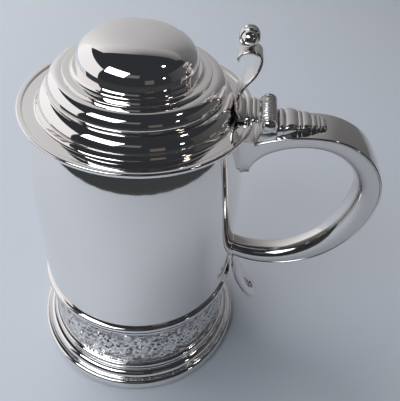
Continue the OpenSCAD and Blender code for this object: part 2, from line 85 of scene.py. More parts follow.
def eased(corners: list[tuple[float, ...]], steps: int = 6) -> np.ndarray:
    """A closed outline whose corners are rounded by tangent arcs.

    A corner (x, z, r) is cut back by r * tan(turn / 2) along both sides and bridged by an
    arc of radius r. A corner (x, z) stays sharp. The cut never passes 48% of a side.

    Args:
        corners: the outline's corners, in order.
        steps: straight steps in each rounded corner.

    Returns:
        The outline's points, in order, without a repeated end.
    """
    out: list[np.ndarray] = []
    for i, corner in enumerate(corners):
        p = np.array(corner[:2], float)
        before = np.array(corners[i - 1][:2], float) - p
        after = np.array(corners[(i + 1) % len(corners)][:2], float) - p
        lengths = np.linalg.norm(before), np.linalg.norm(after)
        a, b = before / lengths[0], after / lengths[1]
        turn = math.pi - math.acos(float(np.clip(a @ b, -1, 1)))
        if len(corner) < 3 or turn < math.radians(1.0):
            out.append(p[None, :])
            continue
        cut = min(corner[2] * math.tan(turn / 2), 0.48 * min(lengths))
        radius = cut / math.tan(turn / 2)
        middle = (a + b) / np.linalg.norm(a + b)
        centre = p + middle * math.hypot(cut, radius)
        start, end = p + a * cut - centre, p + b * cut - centre
        s = math.atan2(start[1], start[0])
        sweep = (math.atan2(end[1], end[0]) - s + math.pi) % (2 * math.pi) - math.pi
        out.append(arc(tuple(centre), radius, math.degrees(s), math.degrees(s + sweep), steps))
    return np.vstack(out)


def smoothed(line: np.ndarray, count: int, spread: float) -> np.ndarray:
    """A line resampled to even steps and blurred along its length, with its ends kept.

    Each point is the Gaussian mean of its neighbours, and spread is the standard
    deviation in the line's own units. The blur fades to nothing at both ends.

    Args:
        line: points of the line.
        count: number of points wanted.
        spread: how far the blur reaches.

    Returns:
        An array of count points.
    """
    s = np.concatenate([[0], np.cumsum(np.linalg.norm(np.diff(line, axis=0), axis=1))])
    even = np.linspace(0, s[-1], count)
    points = np.column_stack([np.interp(even, s, line[:, k]) for k in range(line.shape[1])])
    gap = np.abs(even[:, None] - even[None, :])
    reach = np.minimum(spread, np.minimum(even, s[-1] - even) / 2.5 + 1e-6)[:, None]
    weight = np.exp(-0.5 * (gap / reach) ** 2)
    return (weight / weight.sum(axis=1, keepdims=True)) @ points


def side_of(line: np.ndarray) -> np.ndarray:
    """Unit normals of a plane line: its tangent turned a quarter turn clockwise."""
    d = np.gradient(line, axis=0)
    d /= np.linalg.norm(d, axis=1, keepdims=True)
    return np.column_stack([d[:, 1], -d[:, 0]])


def smooth_step(t: np.ndarray) -> np.ndarray:
    """The curve 3 t^2 - 2 t^3 on 0 to 1."""
    t = np.clip(t, 0, 1)
    return t * t * (3 - 2 * t)


# ---------------------------------------------------------------- shapes


@dataclass
class Shape:
    """One or more closed surfaces in millimetres.

    Attributes:
        points: the vertices.
        faces: arrays of vertex numbers, one array for each number of corners.
        masks: named values, one for each vertex.
    """

    points: np.ndarray
    faces: Faces
    masks: dict[str, np.ndarray] = field(default_factory=dict)

    def __post_init__(self) -> None:
        """Turns the faces outwards: the sum of a . (b x c) / 6 over the triangles is positive."""
        total = 0.0
        for f in self.faces:
            for k in range(1, f.shape[1] - 1):
                a, b, c = self.points[f[:, 0]], self.points[f[:, k]], self.points[f[:, k + 1]]
                total += float(np.einsum("ij,ij->i", a, np.cross(b, c)).sum())
        if total < 0:
            self.faces = [f[:, ::-1] for f in self.faces]

    def __add__(self, other: "Shape") -> "Shape":
        """Both shapes in one, still as separate surfaces."""
        shift = len(self.points)
        names = set(self.masks) | set(other.masks)
        masks = {
            n: np.concatenate([
                self.masks.get(n, np.zeros(shift)), other.masks.get(n, np.zeros(len(other.points)))
            ])
            for n in names
        }
        joined = Shape.__new__(Shape)
        joined.points = np.vstack([self.points, other.points])
        joined.faces = self.faces + [f + shift for f in other.faces]
        joined.masks = masks
        return joined

    def mesh(self, name: str) -> bpy.types.Mesh:
        """The shape as a smooth mesh in metres, sharp where its faces turn by over 38 degrees."""
        mesh = bpy.data.meshes.new(name)
        mesh.vertices.add(len(self.points))
        mesh.vertices.foreach_set("co", (self.points * MM).astype(np.float32).ravel())
        corners = np.concatenate([f.ravel() for f in self.faces]).astype(np.int32)
        sizes = np.concatenate([np.full(len(f), f.shape[1]) for f in self.faces]).astype(np.int32)
        mesh.loops.add(len(corners))
        mesh.loops.foreach_set("vertex_index", corners)
        mesh.polygons.add(len(sizes))
        mesh.polygons.foreach_set("loop_start", np.concatenate([[0], np.cumsum(sizes)[:-1]]).astype(np.int32))
        mesh.polygons.foreach_set("use_smooth", np.ones(len(sizes), bool))
        mesh.update(calc_edges=True)
        for mask, values in self.masks.items():
            mesh.attributes.new(mask, "FLOAT", "POINT").data.foreach_set("value", values.astype(np.float32))
        mesh.set_sharp_from_angle(angle=math.radians(38))
        return mesh


def grid_faces(rows: int, columns: int, close_rows: bool, close_columns: bool) -> np.ndarray:
    """Quads of a grid of rows x columns vertices, closed round either way where asked."""
    index = np.arange(rows * columns).reshape(rows, columns)
    if close_rows:
        index = np.vstack([index, index[:1]])
    if close_columns:
        index = np.hstack([index, index[:, :1]])
    quads = np.stack([index[:-1, :-1], index[:-1, 1:], index[1:, 1:], index[1:, :-1]], axis=-1)
    return quads.reshape(-1, 4)


def turned(outline: np.ndarray, steps: int = TURNS, centre: tuple[float, float] | None = None) -> Shape:
    """A closed outline turned round an axis: (r cos a, r sin a, z).

    Points on the axis become one vertex each. With centre, the axis is level along Y
    through (x, z) = centre, and the outline's second value runs along Y.

    Args:
        outline: points (radius, height).
        steps: number of facets round the axis.
        centre: where a level axis stands, or None for the upright axis.

    Returns:
        The turned shape.
    """
    a = np.linspace(0, 2 * np.pi, steps, endpoint=False)
    r, h = outline[:, 0][:, None], np.repeat(outline[:, 1][:, None], steps, axis=1)
    if centre is None:
        xyz = np.stack([r * np.cos(a), r * np.sin(a), h], axis=-1)
    else:
        xyz = np.stack([centre[0] + r * np.cos(a), h, centre[1] + r * np.sin(a)], axis=-1)
    quads = grid_faces(len(outline), steps, True, True)
    pole = outline[:, 0] < 1e-6
    number = np.arange(len(outline) * steps).reshape(len(outline), steps)
    number[pole] = number[pole][:, :1]
    quads = number.ravel()[quads]
    same = np.stack([quads[:, k] == quads[:, (k + 1) % 4] for k in range(4)], axis=1)
    whole = quads[same.sum(axis=1) == 0]
    once = same.sum(axis=1) == 1
    tris = [quads[same[:, k] & once][:, [(k + j) % 4 for j in (1, 2, 3)]] for k in range(4)]
    used, packed = np.unique(np.concatenate([whole.ravel(), *[t.ravel() for t in tris]]), return_inverse=True)
    faces, at = [], 0
    for f in [whole, *tris]:
        if len(f):
            faces.append(packed[at:at + f.size].reshape(f.shape))
        at += f.size
    return Shape(xyz.reshape(-1, 3)[used], faces)


def swept(rings: np.ndarray) -> Shape:
    """A closed section carried along a path, with a flat face on each end.

    Args:
        rings: array (stations, section points, 3).

    Returns:
        The swept shape.
    """
    m, k = rings.shape[:2]
    ends = [np.arange(k)[None, ::-1], np.arange(k)[None, :] + (m - 1) * k]
    return Shape(rings.reshape(-1, 3), [grid_faces(m, k, False, True), *ends])


def plate(outline: np.ndarray, half: float, edge: float = 0.3, steps: int = 3) -> Shape:
    """An outline in XZ carried across Y, with its long edges rounded.

    Near y = +-half the outline is drawn in by edge * (1 - cos a) and y falls short of
    the side by edge * (1 - sin a), a from 0 to 90 degrees.

    Args:
        outline: points (x, z), in order.
        half: half the plate's width.
        edge: radius of the rounded edges.
        steps: steps in each rounded edge.

    Returns:
        The plate.
    """
    ahead = np.roll(outline, -1, axis=0) - outline
    behind = outline - np.roll(outline, 1, axis=0)
    after = np.roll(outline, -1, axis=0)
    area = float((outline[:, 0] * after[:, 1] - after[:, 0] * outline[:, 1]).sum())
    d = ahead / np.linalg.norm(ahead, axis=1, keepdims=True)
    d = d + behind / np.linalg.norm(behind, axis=1, keepdims=True)
    inward = np.column_stack([-d[:, 1], d[:, 0]]) * math.copysign(1, area)
    inward /= np.maximum(np.linalg.norm(inward, axis=1, keepdims=True), 1e-9)
    a = np.linspace(0, np.pi / 2, steps + 1)
    y = half - edge * (1 - np.sin(a[::-1]))
    draw = edge * (1 - np.cos(a[::-1]))
    ys = np.concatenate([-y, y[::-1]])
    ins = np.concatenate([draw, draw[::-1]])
    flat = outline[None] + inward[None] * ins[:, None, None]
    rings = np.stack([flat[..., 0], np.repeat(ys[:, None], len(outline), 1), flat[..., 1]], axis=-1)
    return swept(rings)


# ---------------------------------------------------------------- finishes


class Polish(Enum):
    """How a surface was finished."""

    MIRROR = "mirror"
    HANDLED = "handled"
    CAST = "cast"
    SATIN = "satin"
    CHASED = "chased"


@dataclass(frozen=True)
class Finish:
    """A metal finish.

    Attributes:
        name: the material's name.
        slot: a material slot's name; not used.
        bright: colour of clean metal.
        dull: colour where grey has settled.
        rough: lowest and highest roughness.
        scratch: depth of the fine scratches, in millimetres.
        wave: depth of the slow unevenness left by hand work, in millimetres.
        grey: how much of the dull colour shows in hollows.
    """

    name: str
    slot: str
    bright: tuple[float, float, float]
    dull: tuple[float, float, float]
    rough: tuple[float, float]
    scratch: float
    wave: float
    grey: float

    def material(self, library: "FinishLibrary") -> bpy.types.Material:
        """The finish as a material.

        Args:
            library: the shared node groups.

        Returns:
            A metal whose colour, roughness and normal come from the shared groups.
        """
        mat = bpy.data.materials.new(self.name)
        mat.use_nodes = True
        tree = mat.node_tree
        tree.nodes.clear()
        out = tree.nodes.new("ShaderNodeOutputMaterial")
        metal = tree.nodes.new("ShaderNodeBsdfPrincipled")
        metal.inputs["Metallic"].default_value = 1.0
        tree.links.new(metal.outputs["BSDF"], out.inputs["Surface"])
        place = tree.nodes.new("ShaderNodeTexCoord").outputs["Object"]

        wear = tree.nodes.new("ShaderNodeGroup")
        wear.node_tree = library.wear
        tree.links.new(place, wear.inputs["Place"])
        wear.inputs["Low roughness"].default_value = self.rough[0]
        wear.inputs["High roughness"].default_value = self.rough[1]
        wear.inputs["Scratch depth"].default_value = self.scratch
        wear.inputs["Wave depth"].default_value = self.wave

        grey = tree.nodes.new("ShaderNodeGroup")
        grey.node_tree = library.tarnish
        tree.links.new(place, grey.inputs["Place"])
        grey.inputs["Bright"].default_value = (*self.bright, 1)
        grey.inputs["Dull"].default_value = (*self.dull, 1)
        grey.inputs["Amount"].default_value = self.grey
        hollow = tree.nodes.new("ShaderNodeAttribute")
        hollow.attribute_name = "hollow"
        tree.links.new(hollow.outputs["Fac"], grey.inputs["Hollow"])
        tree.links.new(grey.outputs["Colour"], metal.inputs["Base Color"])
        tree.links.new(wear.outputs["Roughness"], grey.inputs["Roughness"])
        tree.links.new(grey.outputs["Roughness"], metal.inputs["Roughness"])

        bump = tree.nodes.new("ShaderNodeBump")
        bump.inputs["Strength"].default_value = 1.0
        bump.inputs["Distance"].default_value = MM
        tree.links.new(wear.outputs["Height"], bump.inputs["Height"])
        tree.links.new(bump.outputs["Normal"], metal.inputs["Normal"])
        return mat


@dataclass
class FinishLibrary:
    """The node groups that the metals share."""

    wear: bpy.types.NodeTree = field(init=False)
    tarnish: bpy.types.NodeTree = field(init=False)

    def __post_init__(self) -> None:
        """Builds both groups."""
        self.wear = self.build_wear()
        self.tarnish = self.build_tarnish()

    @staticmethod
    def group(name: str, inputs: dict[str, str], outputs: dict[str, str]) -> tuple:
        """A new group with its sockets.

        Args:
            name: the group's name.
            inputs: socket name to socket type.
            outputs: socket name to socket type.

        Returns:
            The tree, its input node and its output node.
        """
        tree = bpy.data.node_groups.new(name, "ShaderNodeTree")
        for key, kind in inputs.items():
            tree.interface.new_socket(name=key, in_out="INPUT", socket_type=kind)
        for key, kind in outputs.items():
            tree.interface.new_socket(name=key, in_out="OUTPUT", socket_type=kind)
        return tree, tree.nodes.new("NodeGroupInput"), tree.nodes.new("NodeGroupOutput")

    @staticmethod
    def math_node(
        tree: bpy.types.NodeTree, kind: str, a: object, b: object = None, c: object = None,
    ) -> object:
        """A math node fed by sockets or numbers, and its output."""
        node = tree.nodes.new("ShaderNodeMath")
        node.operation = kind
        for socket, value in zip(node.inputs, (a, b, c)):
            if value is None:
                continue
            if isinstance(value, bpy.types.NodeSocket):
                tree.links.new(value, socket)
            else:
                socket.default_value = value
        return node.outputs[0]

    @staticmethod
    def noise(
        tree: bpy.types.NodeTree, place: object, scale: float, detail: float, rough: float = 0.5,
    ) -> object:
        """Fractal noise over a place, and its value output."""
        node = tree.nodes.new("ShaderNodeTexNoise")
        node.inputs["Scale"].default_value = scale
        node.inputs["Detail"].default_value = detail
        node.inputs["Roughness"].default_value = rough
        tree.links.new(place, node.inputs["Vector"])
        return node.outputs["Fac"]

    def build_wear(self) -> bpy.types.NodeTree:
        """Roughness that drifts between two values, and a height of scratches and waves."""
        number = "NodeSocketFloat"
        tree, given, out = self.group(
            "handling_wear",
            {"Place": "NodeSocketVector", "Low roughness": number, "High roughness": number,
             "Scratch depth": number, "Wave depth": number},
            {"Roughness": number, "Height": number},
        )
        place = given.outputs["Place"]
        smudge = self.noise(tree, place, 38.0, 3.0)
        film = self.noise(tree, place, 210.0, 2.0)
        both = self.math_node(tree, "MULTIPLY_ADD", film, 0.35, smudge)
        share = tree.nodes.new("ShaderNodeMapRange")
        share.inputs["From Min"].default_value = 0.5
        share.inputs["From Max"].default_value = 0.95
        tree.links.new(both, share.inputs["Value"])
        tree.links.new(given.outputs["Low roughness"], share.inputs["To Min"])
        tree.links.new(given.outputs["High roughness"], share.inputs["To Max"])
        tree.links.new(share.outputs["Result"], out.inputs["Roughness"])

        lines = None
        for turn, stretch in (((0.3, 0.2, 0.5), 30.0), ((1.1, 0.7, 2.1), 24.0), ((2.0, 1.6, 0.9), 36.0)):
            mapping = tree.nodes.new("ShaderNodeMapping")
            mapping.inputs["Rotation"].default_value = turn
            mapping.inputs["Scale"].default_value = (1.0, stretch, stretch * 0.6)
            tree.links.new(place, mapping.inputs["Vector"])
            fine = self.noise(tree, mapping.outputs["Vector"], 60.0, 1.0)
            peak = self.math_node(tree, "SUBTRACT", fine, 0.66)
            cut = self.math_node(tree, "MAXIMUM", peak, 0.0)
            lines = cut if lines is None else self.math_node(tree, "ADD", lines, cut)
        depth = self.math_node(tree, "MULTIPLY", lines, given.outputs["Scratch depth"])
        wave = self.noise(tree, place, 26.0, 1.0)
        slow = self.math_node(tree, "MULTIPLY", wave, given.outputs["Wave depth"])
        tree.links.new(self.math_node(tree, "SUBTRACT", slow, depth), out.inputs["Height"])
        return tree

    def build_tarnish(self) -> bpy.types.NodeTree:
        """Colour and roughness: bright metal, dull in hollows, with a faint warm and cool drift."""
        number, colour = "NodeSocketFloat", "NodeSocketColor"
        tree, given, out = self.group(
            "settled_grey",
            {"Place": "NodeSocketVector", "Bright": colour, "Dull": colour, "Amount": number,
             "Hollow": number, "Roughness": number},
            {"Colour": colour, "Roughness": number},
        )
        patch = self.noise(tree, given.outputs["Place"], 55.0, 4.0)
        soft = self.math_node(tree, "MULTIPLY_ADD", patch, 0.9, 0.35)
        depth = self.math_node(tree, "MULTIPLY", given.outputs["Hollow"], soft)
        drift = self.math_node(tree, "MULTIPLY", self.math_node(tree, "SUBTRACT", patch, 0.5), 0.06)
        amount = self.math_node(tree, "MULTIPLY_ADD", depth, given.outputs["Amount"], drift)
        held = tree.nodes.new("ShaderNodeClamp")
        tree.links.new(amount, held.inputs["Value"])
        mix = tree.nodes.new("ShaderNodeMix")
        mix.data_type = "RGBA"
        tree.links.new(held.outputs["Result"], mix.inputs["Factor"])
        tree.links.new(given.outputs["Bright"], mix.inputs["A"])
        tree.links.new(given.outputs["Dull"], mix.inputs["B"])
        for socket in mix.outputs:
            if socket.type == "RGBA":
                tree.links.new(socket, out.inputs["Colour"])
        rough = self.math_node(tree, "MULTIPLY_ADD", held.outputs["Result"], 0.3, given.outputs["Roughness"])
        tree.links.new(rough, out.inputs["Roughness"])
        return tree


SILVER = (0.92, 0.89, 0.865)
WORN_SILVER = (0.77, 0.745, 0.72)
CAST_SILVER = (0.80, 0.77, 0.745)
INNER_SILVER = (0.88, 0.875, 0.87)
CHASED_SILVER = (0.9, 0.875, 0.85)
PIN_METAL = (0.55, 0.55, 0.56)
OXIDE = (0.20, 0.20, 0.21)
FINISHES = {
    Polish.MIRROR: Finish(
        "mirror_body", "body_metal", SILVER, OXIDE, (0.03, 0.06), 0.0015, 0.006, 0.25),
    Polish.HANDLED: Finish(
        "handled_strap", "handle_metal", WORN_SILVER, OXIDE, (0.05, 0.12), 0.004, 0.01, 0.3),
    Polish.CAST: Finish(
        "polished_casting", "cast_metal", CAST_SILVER, OXIDE, (0.08, 0.18), 0.006, 0.015, 0.9),
    Polish.SATIN: Finish(
        "satin_inside", "inside_metal", INNER_SILVER, OXIDE, (0.22, 0.34), 0.012, 0.02, 0.3),
    Polish.CHASED: Finish(
        "chased_relief", "chased_metal", CHASED_SILVER, OXIDE, (0.09, 0.2), 0.006, 0.0, 0.95),
}
TRIM = Finish("bright_trim", "trim_metal", SILVER, OXIDE, (0.04, 0.08), 0.003, 0.005, 0.6)
WIRE = Finish("drawn_pin", "pin_metal", PIN_METAL, OXIDE, (0.25, 0.4), 0.02, 0.0, 0.4)


@dataclass
class Workshop:
    """Turns shapes into dressed pieces that ride on a body.

    Attributes:
        library: the shared node groups.
        made: materials made so far, by name.
    """

    library: FinishLibrary
    made: dict[str, bpy.types.Material] = field(default_factory=dict)

    def finish(self, shape: Shape, node: str, body: str, finish: Finish) -> bpy.types.Object:
        """Makes the object that stands for a CAD node.

        Args:
            shape: the finished surfaces.
            node: the CAD node that it stands for.
            body: the body that it rides on.
            finish: its finish.

        Returns:
            The new object.
        """
        name = f"{node}_look"
        obj = bpy.data.objects.new(name, shape.mesh(name))
        bpy.context.scene.collection.objects.link(obj)
        if finish.name not in self.made:
            self.made[finish.name] = finish.material(self.library)
        obj.data.materials.append(self.made[finish.name])
        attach(obj, body)
        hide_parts(node)
        log.info("%s: %d vertices, %s", name, len(shape.points), finish.name)
        return obj


# ---------------------------------------------------------------- vessel


def low(node: str) -> np.ndarray:
    """Lowest corner of a CAD node, in millimetres."""
    return np.array(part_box(node)[0]) / MM


def high(node: str) -> np.ndarray:
    """Highest corner of a CAD node, in millimetres."""
    return np.array(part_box(node)[1]) / MM


@dataclass
class Vessel:
    """Drum, floor, lip wire, foot and mouldings.

    Attributes:
        body: the body that the pieces ride on.
        wall: thickness of the drum.
        taper_h: length of the taper under the lip.
        band_t: thickness of the chased band.
        lip_out: how far the lip wire stands out.
        foot_t: thickness of the foot's metal.
        foot_wire_t: radial thickness of the foot's wire.
        quarter_w: radial width of the foot's quarter round.
    """

    body: str = "vessel"
    wall: float = 1.6
    taper_h: float = 68.0
    band_t: float = 1.4
    lip_out: float = 1.4
    foot_t: float = 1.8
    foot_wire_t: float = 3.0
    quarter_w: float = 4.0

    def __post_init__(self) -> None:
        """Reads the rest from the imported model."""
        self.drum_r = high("drum")[0]
        self.rim_z = high("drum")[2]
        self.lip_r = high("lip_wire")[0] - self.lip_out
        self.core_r = high("chased_band")[0] - self.band_t
        self.band_z = low("chased_band")[2], high("chased_band")[2]
        self.belly_z = high("torus_moulding")[2]
        self.foot_r, self.foot_wire_h = high("foot_wire")[0], high("foot_wire")[2]
        self.foot_z = high("foot_ring")[2]

    def taper(self, z: np.ndarray) -> np.ndarray:
        """Outer radius at z: body - R + sqrt(R^2 - (z - z0)^2), an arc tangent to the straight drum."""
        fall = self.drum_r - self.lip_r
        big = (self.taper_h ** 2 + fall ** 2) / (2 * fall)
        up = np.maximum(z - (self.rim_z - self.taper_h), 0)
        return self.drum_r - big + np.sqrt(big ** 2 - up ** 2)

    def drum(self) -> Shape:
        """The drum: its outer side up, round the lip, and its inner side down."""
        z = np.linspace(self.rim_z - self.taper_h, self.rim_z, 49)
        side = np.column_stack([self.taper(z), z])
        top, step = self.band_z[1], self.belly_z
        under = [(self.core_r, self.foot_z - 1.4), (self.core_r, top + 1), (self.drum_r, step - 1)]
        inner = [(r - self.wall, h) for r, h in under]
        rise = np.linspace(step - 1, self.rim_z - self.taper_h, 8)[1:-1]
        plain = np.column_stack([np.full(len(rise), self.drum_r), rise])
        lip = arc((self.lip_r - 0.35, self.rim_z - 0.35), 0.35, 0, 90, 5)
        back = arc((self.lip_r - self.wall + 0.35, self.rim_z - 0.35), 0.35, 90, 180, 5)
        shift = np.array([self.wall, 0])
        inside = chain(side[-2::-1] - shift, plain[::-1] - shift, inner[::-1])
        return turned(chain(under, plain, side[:-1], lip, back, inside))

    def floor(self) -> Shape:
        """The dished floor, with a small round where it meets the wall."""
        r, z = self.core_r - self.wall, self.foot_z
        top = arc((r - 2.5, z + 2.5), 2.5, 0, -90, 8)
        return turned(chain((0, z - 3), (r, z - 2), top, (r * 0.5, z - 0.4), (0, z - 0.6)), 200)

    def lip_wire(self) -> Shape:
        """The wire round the lip: a half round with a soft lower edge."""
        z0, r = self.rim_z - 3.6, self.lip_r + self.lip_out
        inner = self.taper(np.array([z0]))[0] - 0.4
        return turned(eased([
            (inner, z0), (r, z0 + 0.4, 0.7), (r, self.rim_z, 0.8), (self.lip_r - 0.3, self.rim_z),
        ]))

    def foot_ring(self) -> Shape:
        """The spun foot: step, quarter round and ledge, hollow beneath."""
        w = self.foot_r - self.foot_wire_t
        z0 = self.foot_wire_h + 0.8
        x0 = w - 0.8 - self.quarter_w
        a = np.radians(np.linspace(0, 90, 21))
        quarter = np.column_stack([x0 + self.quarter_w * np.cos(a), z0 + (self.foot_z - z0) * np.sin(a)])
        step = arc((w - 0.3, z0 - 0.3), 0.3, 0, 90, 4)
        under = self.foot_z - 2 - self.foot_t
        return turned(chain(
            (w - self.foot_t - self.quarter_w, 0.6), (w, 0.6), step, quarter,
            (self.core_r, self.foot_z), (self.core_r, under), (x0, under),
            (w - self.foot_t - self.quarter_w, z0 - self.foot_t - 1),
        ))

    def foot_wire(self) -> Shape:
        """The wire round the bottom, a flat band with a round top edge and an eased lower one."""
        w, r = self.foot_r - self.foot_wire_t, self.foot_r
        inner = w - self.foot_t - self.quarter_w
        round_r = self.foot_wire_t - 0.4
        low_edge = arc((r - 0.8, 0.8), 0.8, -90, 0, 6)
        crown = arc((r - round_r, self.foot_wire_h - round_r), round_r, 0, 90, 14)
        return turned(chain((inner, 0), low_edge, crown, (w, self.foot_wire_h), (w, 0.6), (inner, 0.6)))

    def reed(self) -> Shape:
        """The bead under the band, with a fine fillet over it."""
        z0, z1 = self.foot_z, self.band_z[0]
        r = self.core_r + self.band_t
        bead = arc((r - 0.2, (z0 + z1) / 2), (z1 - z0) / 2 - 0.3, -82, 82, 20)
        return turned(chain((self.core_r, z0), bead, (r, z1 - 0.3), (r, z1), (self.core_r, z1)))

    def torus(self) -> Shape:
        """The stepped moulding over the band: fillet, groove, fillet and half round."""
        z0, z1 = self.band_z[1], self.belly_z
        s = (z1 - z0) / 9
        r = self.core_r + self.band_t
        half_round = arc((r + 0.2, z1 - 2.6 * s), 2 * s, -72, 62, 24)
        return turned(chain(
            (self.core_r, z0), (r + 0.1, z0), arc((r, z0 + s - 0.2), 0.2, 0, 60, 3), (r - 0.3, z0 + 1.6 * s),
            (r - 0.3, z0 + 2.6 * s), (r + 0.7, z0 + 3.2 * s), arc((r + 0.6, z0 + 4 * s - 0.2), 0.2, 0, 60, 3),
            half_round, (self.drum_r, z1 - 0.4), (self.drum_r - 0.2, z1 - 1), (self.core_r, z0 + 1),
        ))

    def build(self, shop: Workshop) -> None:
        """Makes and dresses every piece."""
        mirror, inside = FINISHES[Polish.MIRROR], FINISHES[Polish.SATIN]
        shop.finish(self.drum(), "drum", self.body, mirror)
        shop.finish(self.floor(), "drum_floor", self.body, inside)
        shop.finish(self.lip_wire(), "lip_wire", self.body, TRIM)
        shop.finish(self.foot_ring(), "foot_ring", self.body, mirror)
        shop.finish(self.foot_wire(), "foot_wire", self.body, TRIM)
        shop.finish(self.reed(), "reed_moulding", self.body, TRIM)
        shop.finish(self.torus(), "torus_moulding", self.body, TRIM)


@dataclass
class ChasedBand:
    """The band of chased leaf scrolls.

    Attributes:
        body: the body that the band rides on.
        repeats: scroll units round the band.
        columns: grid columns in one unit.
        rows: grid rows up the band.
        depth: depth of the ground under the leaves.
        thick: thickness of the band at its highest leaves.
        seed: seed of the matted ground, and one less than the small leaves' seed.
    """

    body: str = "vessel"
    repeats: int = 8
    columns: int = 138
    rows: int = 80
    depth: float = 1.2
    thick: float = 1.4
    seed: int = 11

    def strokes(self, width: float, tall: float) -> np.ndarray:
        """Tapered strokes of one unit, as rows (x, z, half width, height).

        A wave z = 0.17 h sin(2 pi x / w) is the stem. In each half wave a spiral of radius
        0.34 h exp(-0.135 a) turns in from it, leaves fan out along both, and a flower of six
        petals fills the spiral's eye. Small leaves, one to each cell of a grid and turned at
        random, fill what is left.

        Args:
            width: width of the unit.
            tall: height of the field.

        Returns:
            Samples of all the strokes.
        """
        out: list[np.ndarray] = []

        def stroke(x: np.ndarray, z: np.ndarray, w: np.ndarray, h: float) -> None:
            out.append(np.column_stack([x, z, w, np.full(len(x), h)]))

        def leaf(x: float, z: float, angle: float, length: float, bend: float, h: float) -> None:
            t = np.linspace(0, 1, 15)
            a = angle + bend * t
            xs = x + np.cumsum(np.cos(a)) * length / 15
            zs = z + np.cumsum(np.sin(a)) * length / 15
            stroke(xs, zs, 0.3 + 0.2 * length * np.sin(np.pi * t ** 0.75), h)

        x = np.linspace(0, width, 120, endpoint=False)
        stroke(x, 0.17 * tall * np.sin(2 * np.pi * x / width), np.full(120, 0.6), 0.75)
        for half in range(2):
            up = 1 - 2 * half
            cx, cz = width * (0.25 + 0.5 * half), -up * 0.1 * tall
            a = np.linspace(0, 4.1 * np.pi, 110)
            r = 0.34 * tall * np.exp(-0.135 * a)
            sx, sz = cx - r * np.cos(a), cz + up * r * np.sin(a) * 0.95
            stroke(sx, sz, 1.0 - 0.5 * a / a[-1], 0.95)
            for k in range(15):
                b = 0.3 + 0.62 * k
                rb = 0.34 * tall * math.exp(-0.135 * b)
                px, pz = cx - rb * math.cos(b), cz + up * rb * math.sin(b) * 0.95
                out_angle = math.atan2(up * math.sin(b), -math.cos(b))
                size = 0.19 * tall * math.exp(-0.07 * b)
                leaf(px, pz, out_angle + up * 0.7, size, -up * 1.3, 0.9)
                leaf(px, pz, out_angle + up * 0.1, size * 0.8, up * 0.9, 0.7)
            for k in range(6):
                q = 2 * math.pi * k / 6
                leaf(cx + 0.6 * math.cos(q), cz + 0.6 * math.sin(q), q, 0.075 * tall, 0.5, 1.0)
            t = np.linspace(0, 1, 8)
            stroke(cx + 0 * t, cz + 0 * t, 0.9 + 0 * t, 1.0)
            for k in range(7):
                fx = width * (0.5 * half + 0.02 + 0.07 * k)
                fz = up * (0.3 + 0.1 * math.sin(2.4 * k)) * tall
                leaf(fx, fz, up * (0.6 + 0.9 * k), 0.16 * tall, up * 1.6, 0.8)
                leaf(fx + 1.5, fz - up * 3, up * (2.2 + 0.8 * k), 0.12 * tall, -up * 1.4, 0.65)
        rng = np.random.default_rng(self.seed + 1)
        across, up_rows = 19, 8
        for i in range(across):
            for j in range(up_rows):
                fx = (i + rng.uniform(0.1, 0.9)) * width / across
                fz = ((j + rng.uniform(0.1, 0.9)) / up_rows - 0.5) * tall
                turn, size = rng.uniform(0, 2 * np.pi), rng.uniform(0.11, 0.17)
                leaf(fx, fz, turn, size * tall, rng.uniform(-1.6, 1.6), rng.uniform(0.35, 0.8))
        return np.vstack(out)

    def relief(self, width: float, tall: float) -> np.ndarray:
        """Height of one unit on its grid, 0 on the ground to 1 on the tallest leaf.

        Each stroke sample raises a round ridge h sqrt(1 - (d / w)^2), and the highest wins.
        A fine bead borders both edges.

        Args:
            width: width of the unit.
            tall: height of the band.

        Returns:
            Array (rows, columns).
        """
        x = np.arange(self.columns) * width / self.columns
        z = np.linspace(-tall / 2, tall / 2, self.rows)
        field_h = np.zeros((self.rows, self.columns))
        for sx, sz, w, h in self.strokes(width, tall - 5.0):
            near_z = np.abs(z - sz) < w
            dx = (x - sx + width / 2) % width - width / 2
            near_x = np.abs(dx) < w
            if not near_z.any() or not near_x.any():
                continue
            d2 = ((z[near_z] - sz)[:, None] ** 2 + dx[near_x][None, :] ** 2) / w ** 2
            rise = h * np.sqrt(np.clip(1 - d2, 0, 1))
            patch = np.ix_(near_z, near_x)
            field_h[patch] = np.maximum(field_h[patch], rise)
        inside = np.clip((tall / 2 - np.abs(z) - 1.9) / 0.6, 0, 1)[:, None]
        edge = np.sqrt(np.clip(1 - ((tall / 2 - np.abs(z) - 0.9) / 0.8) ** 2, 0, 1))[:, None]
        return np.maximum(field_h * inside, 0.8 * edge * np.ones((1, self.columns)))

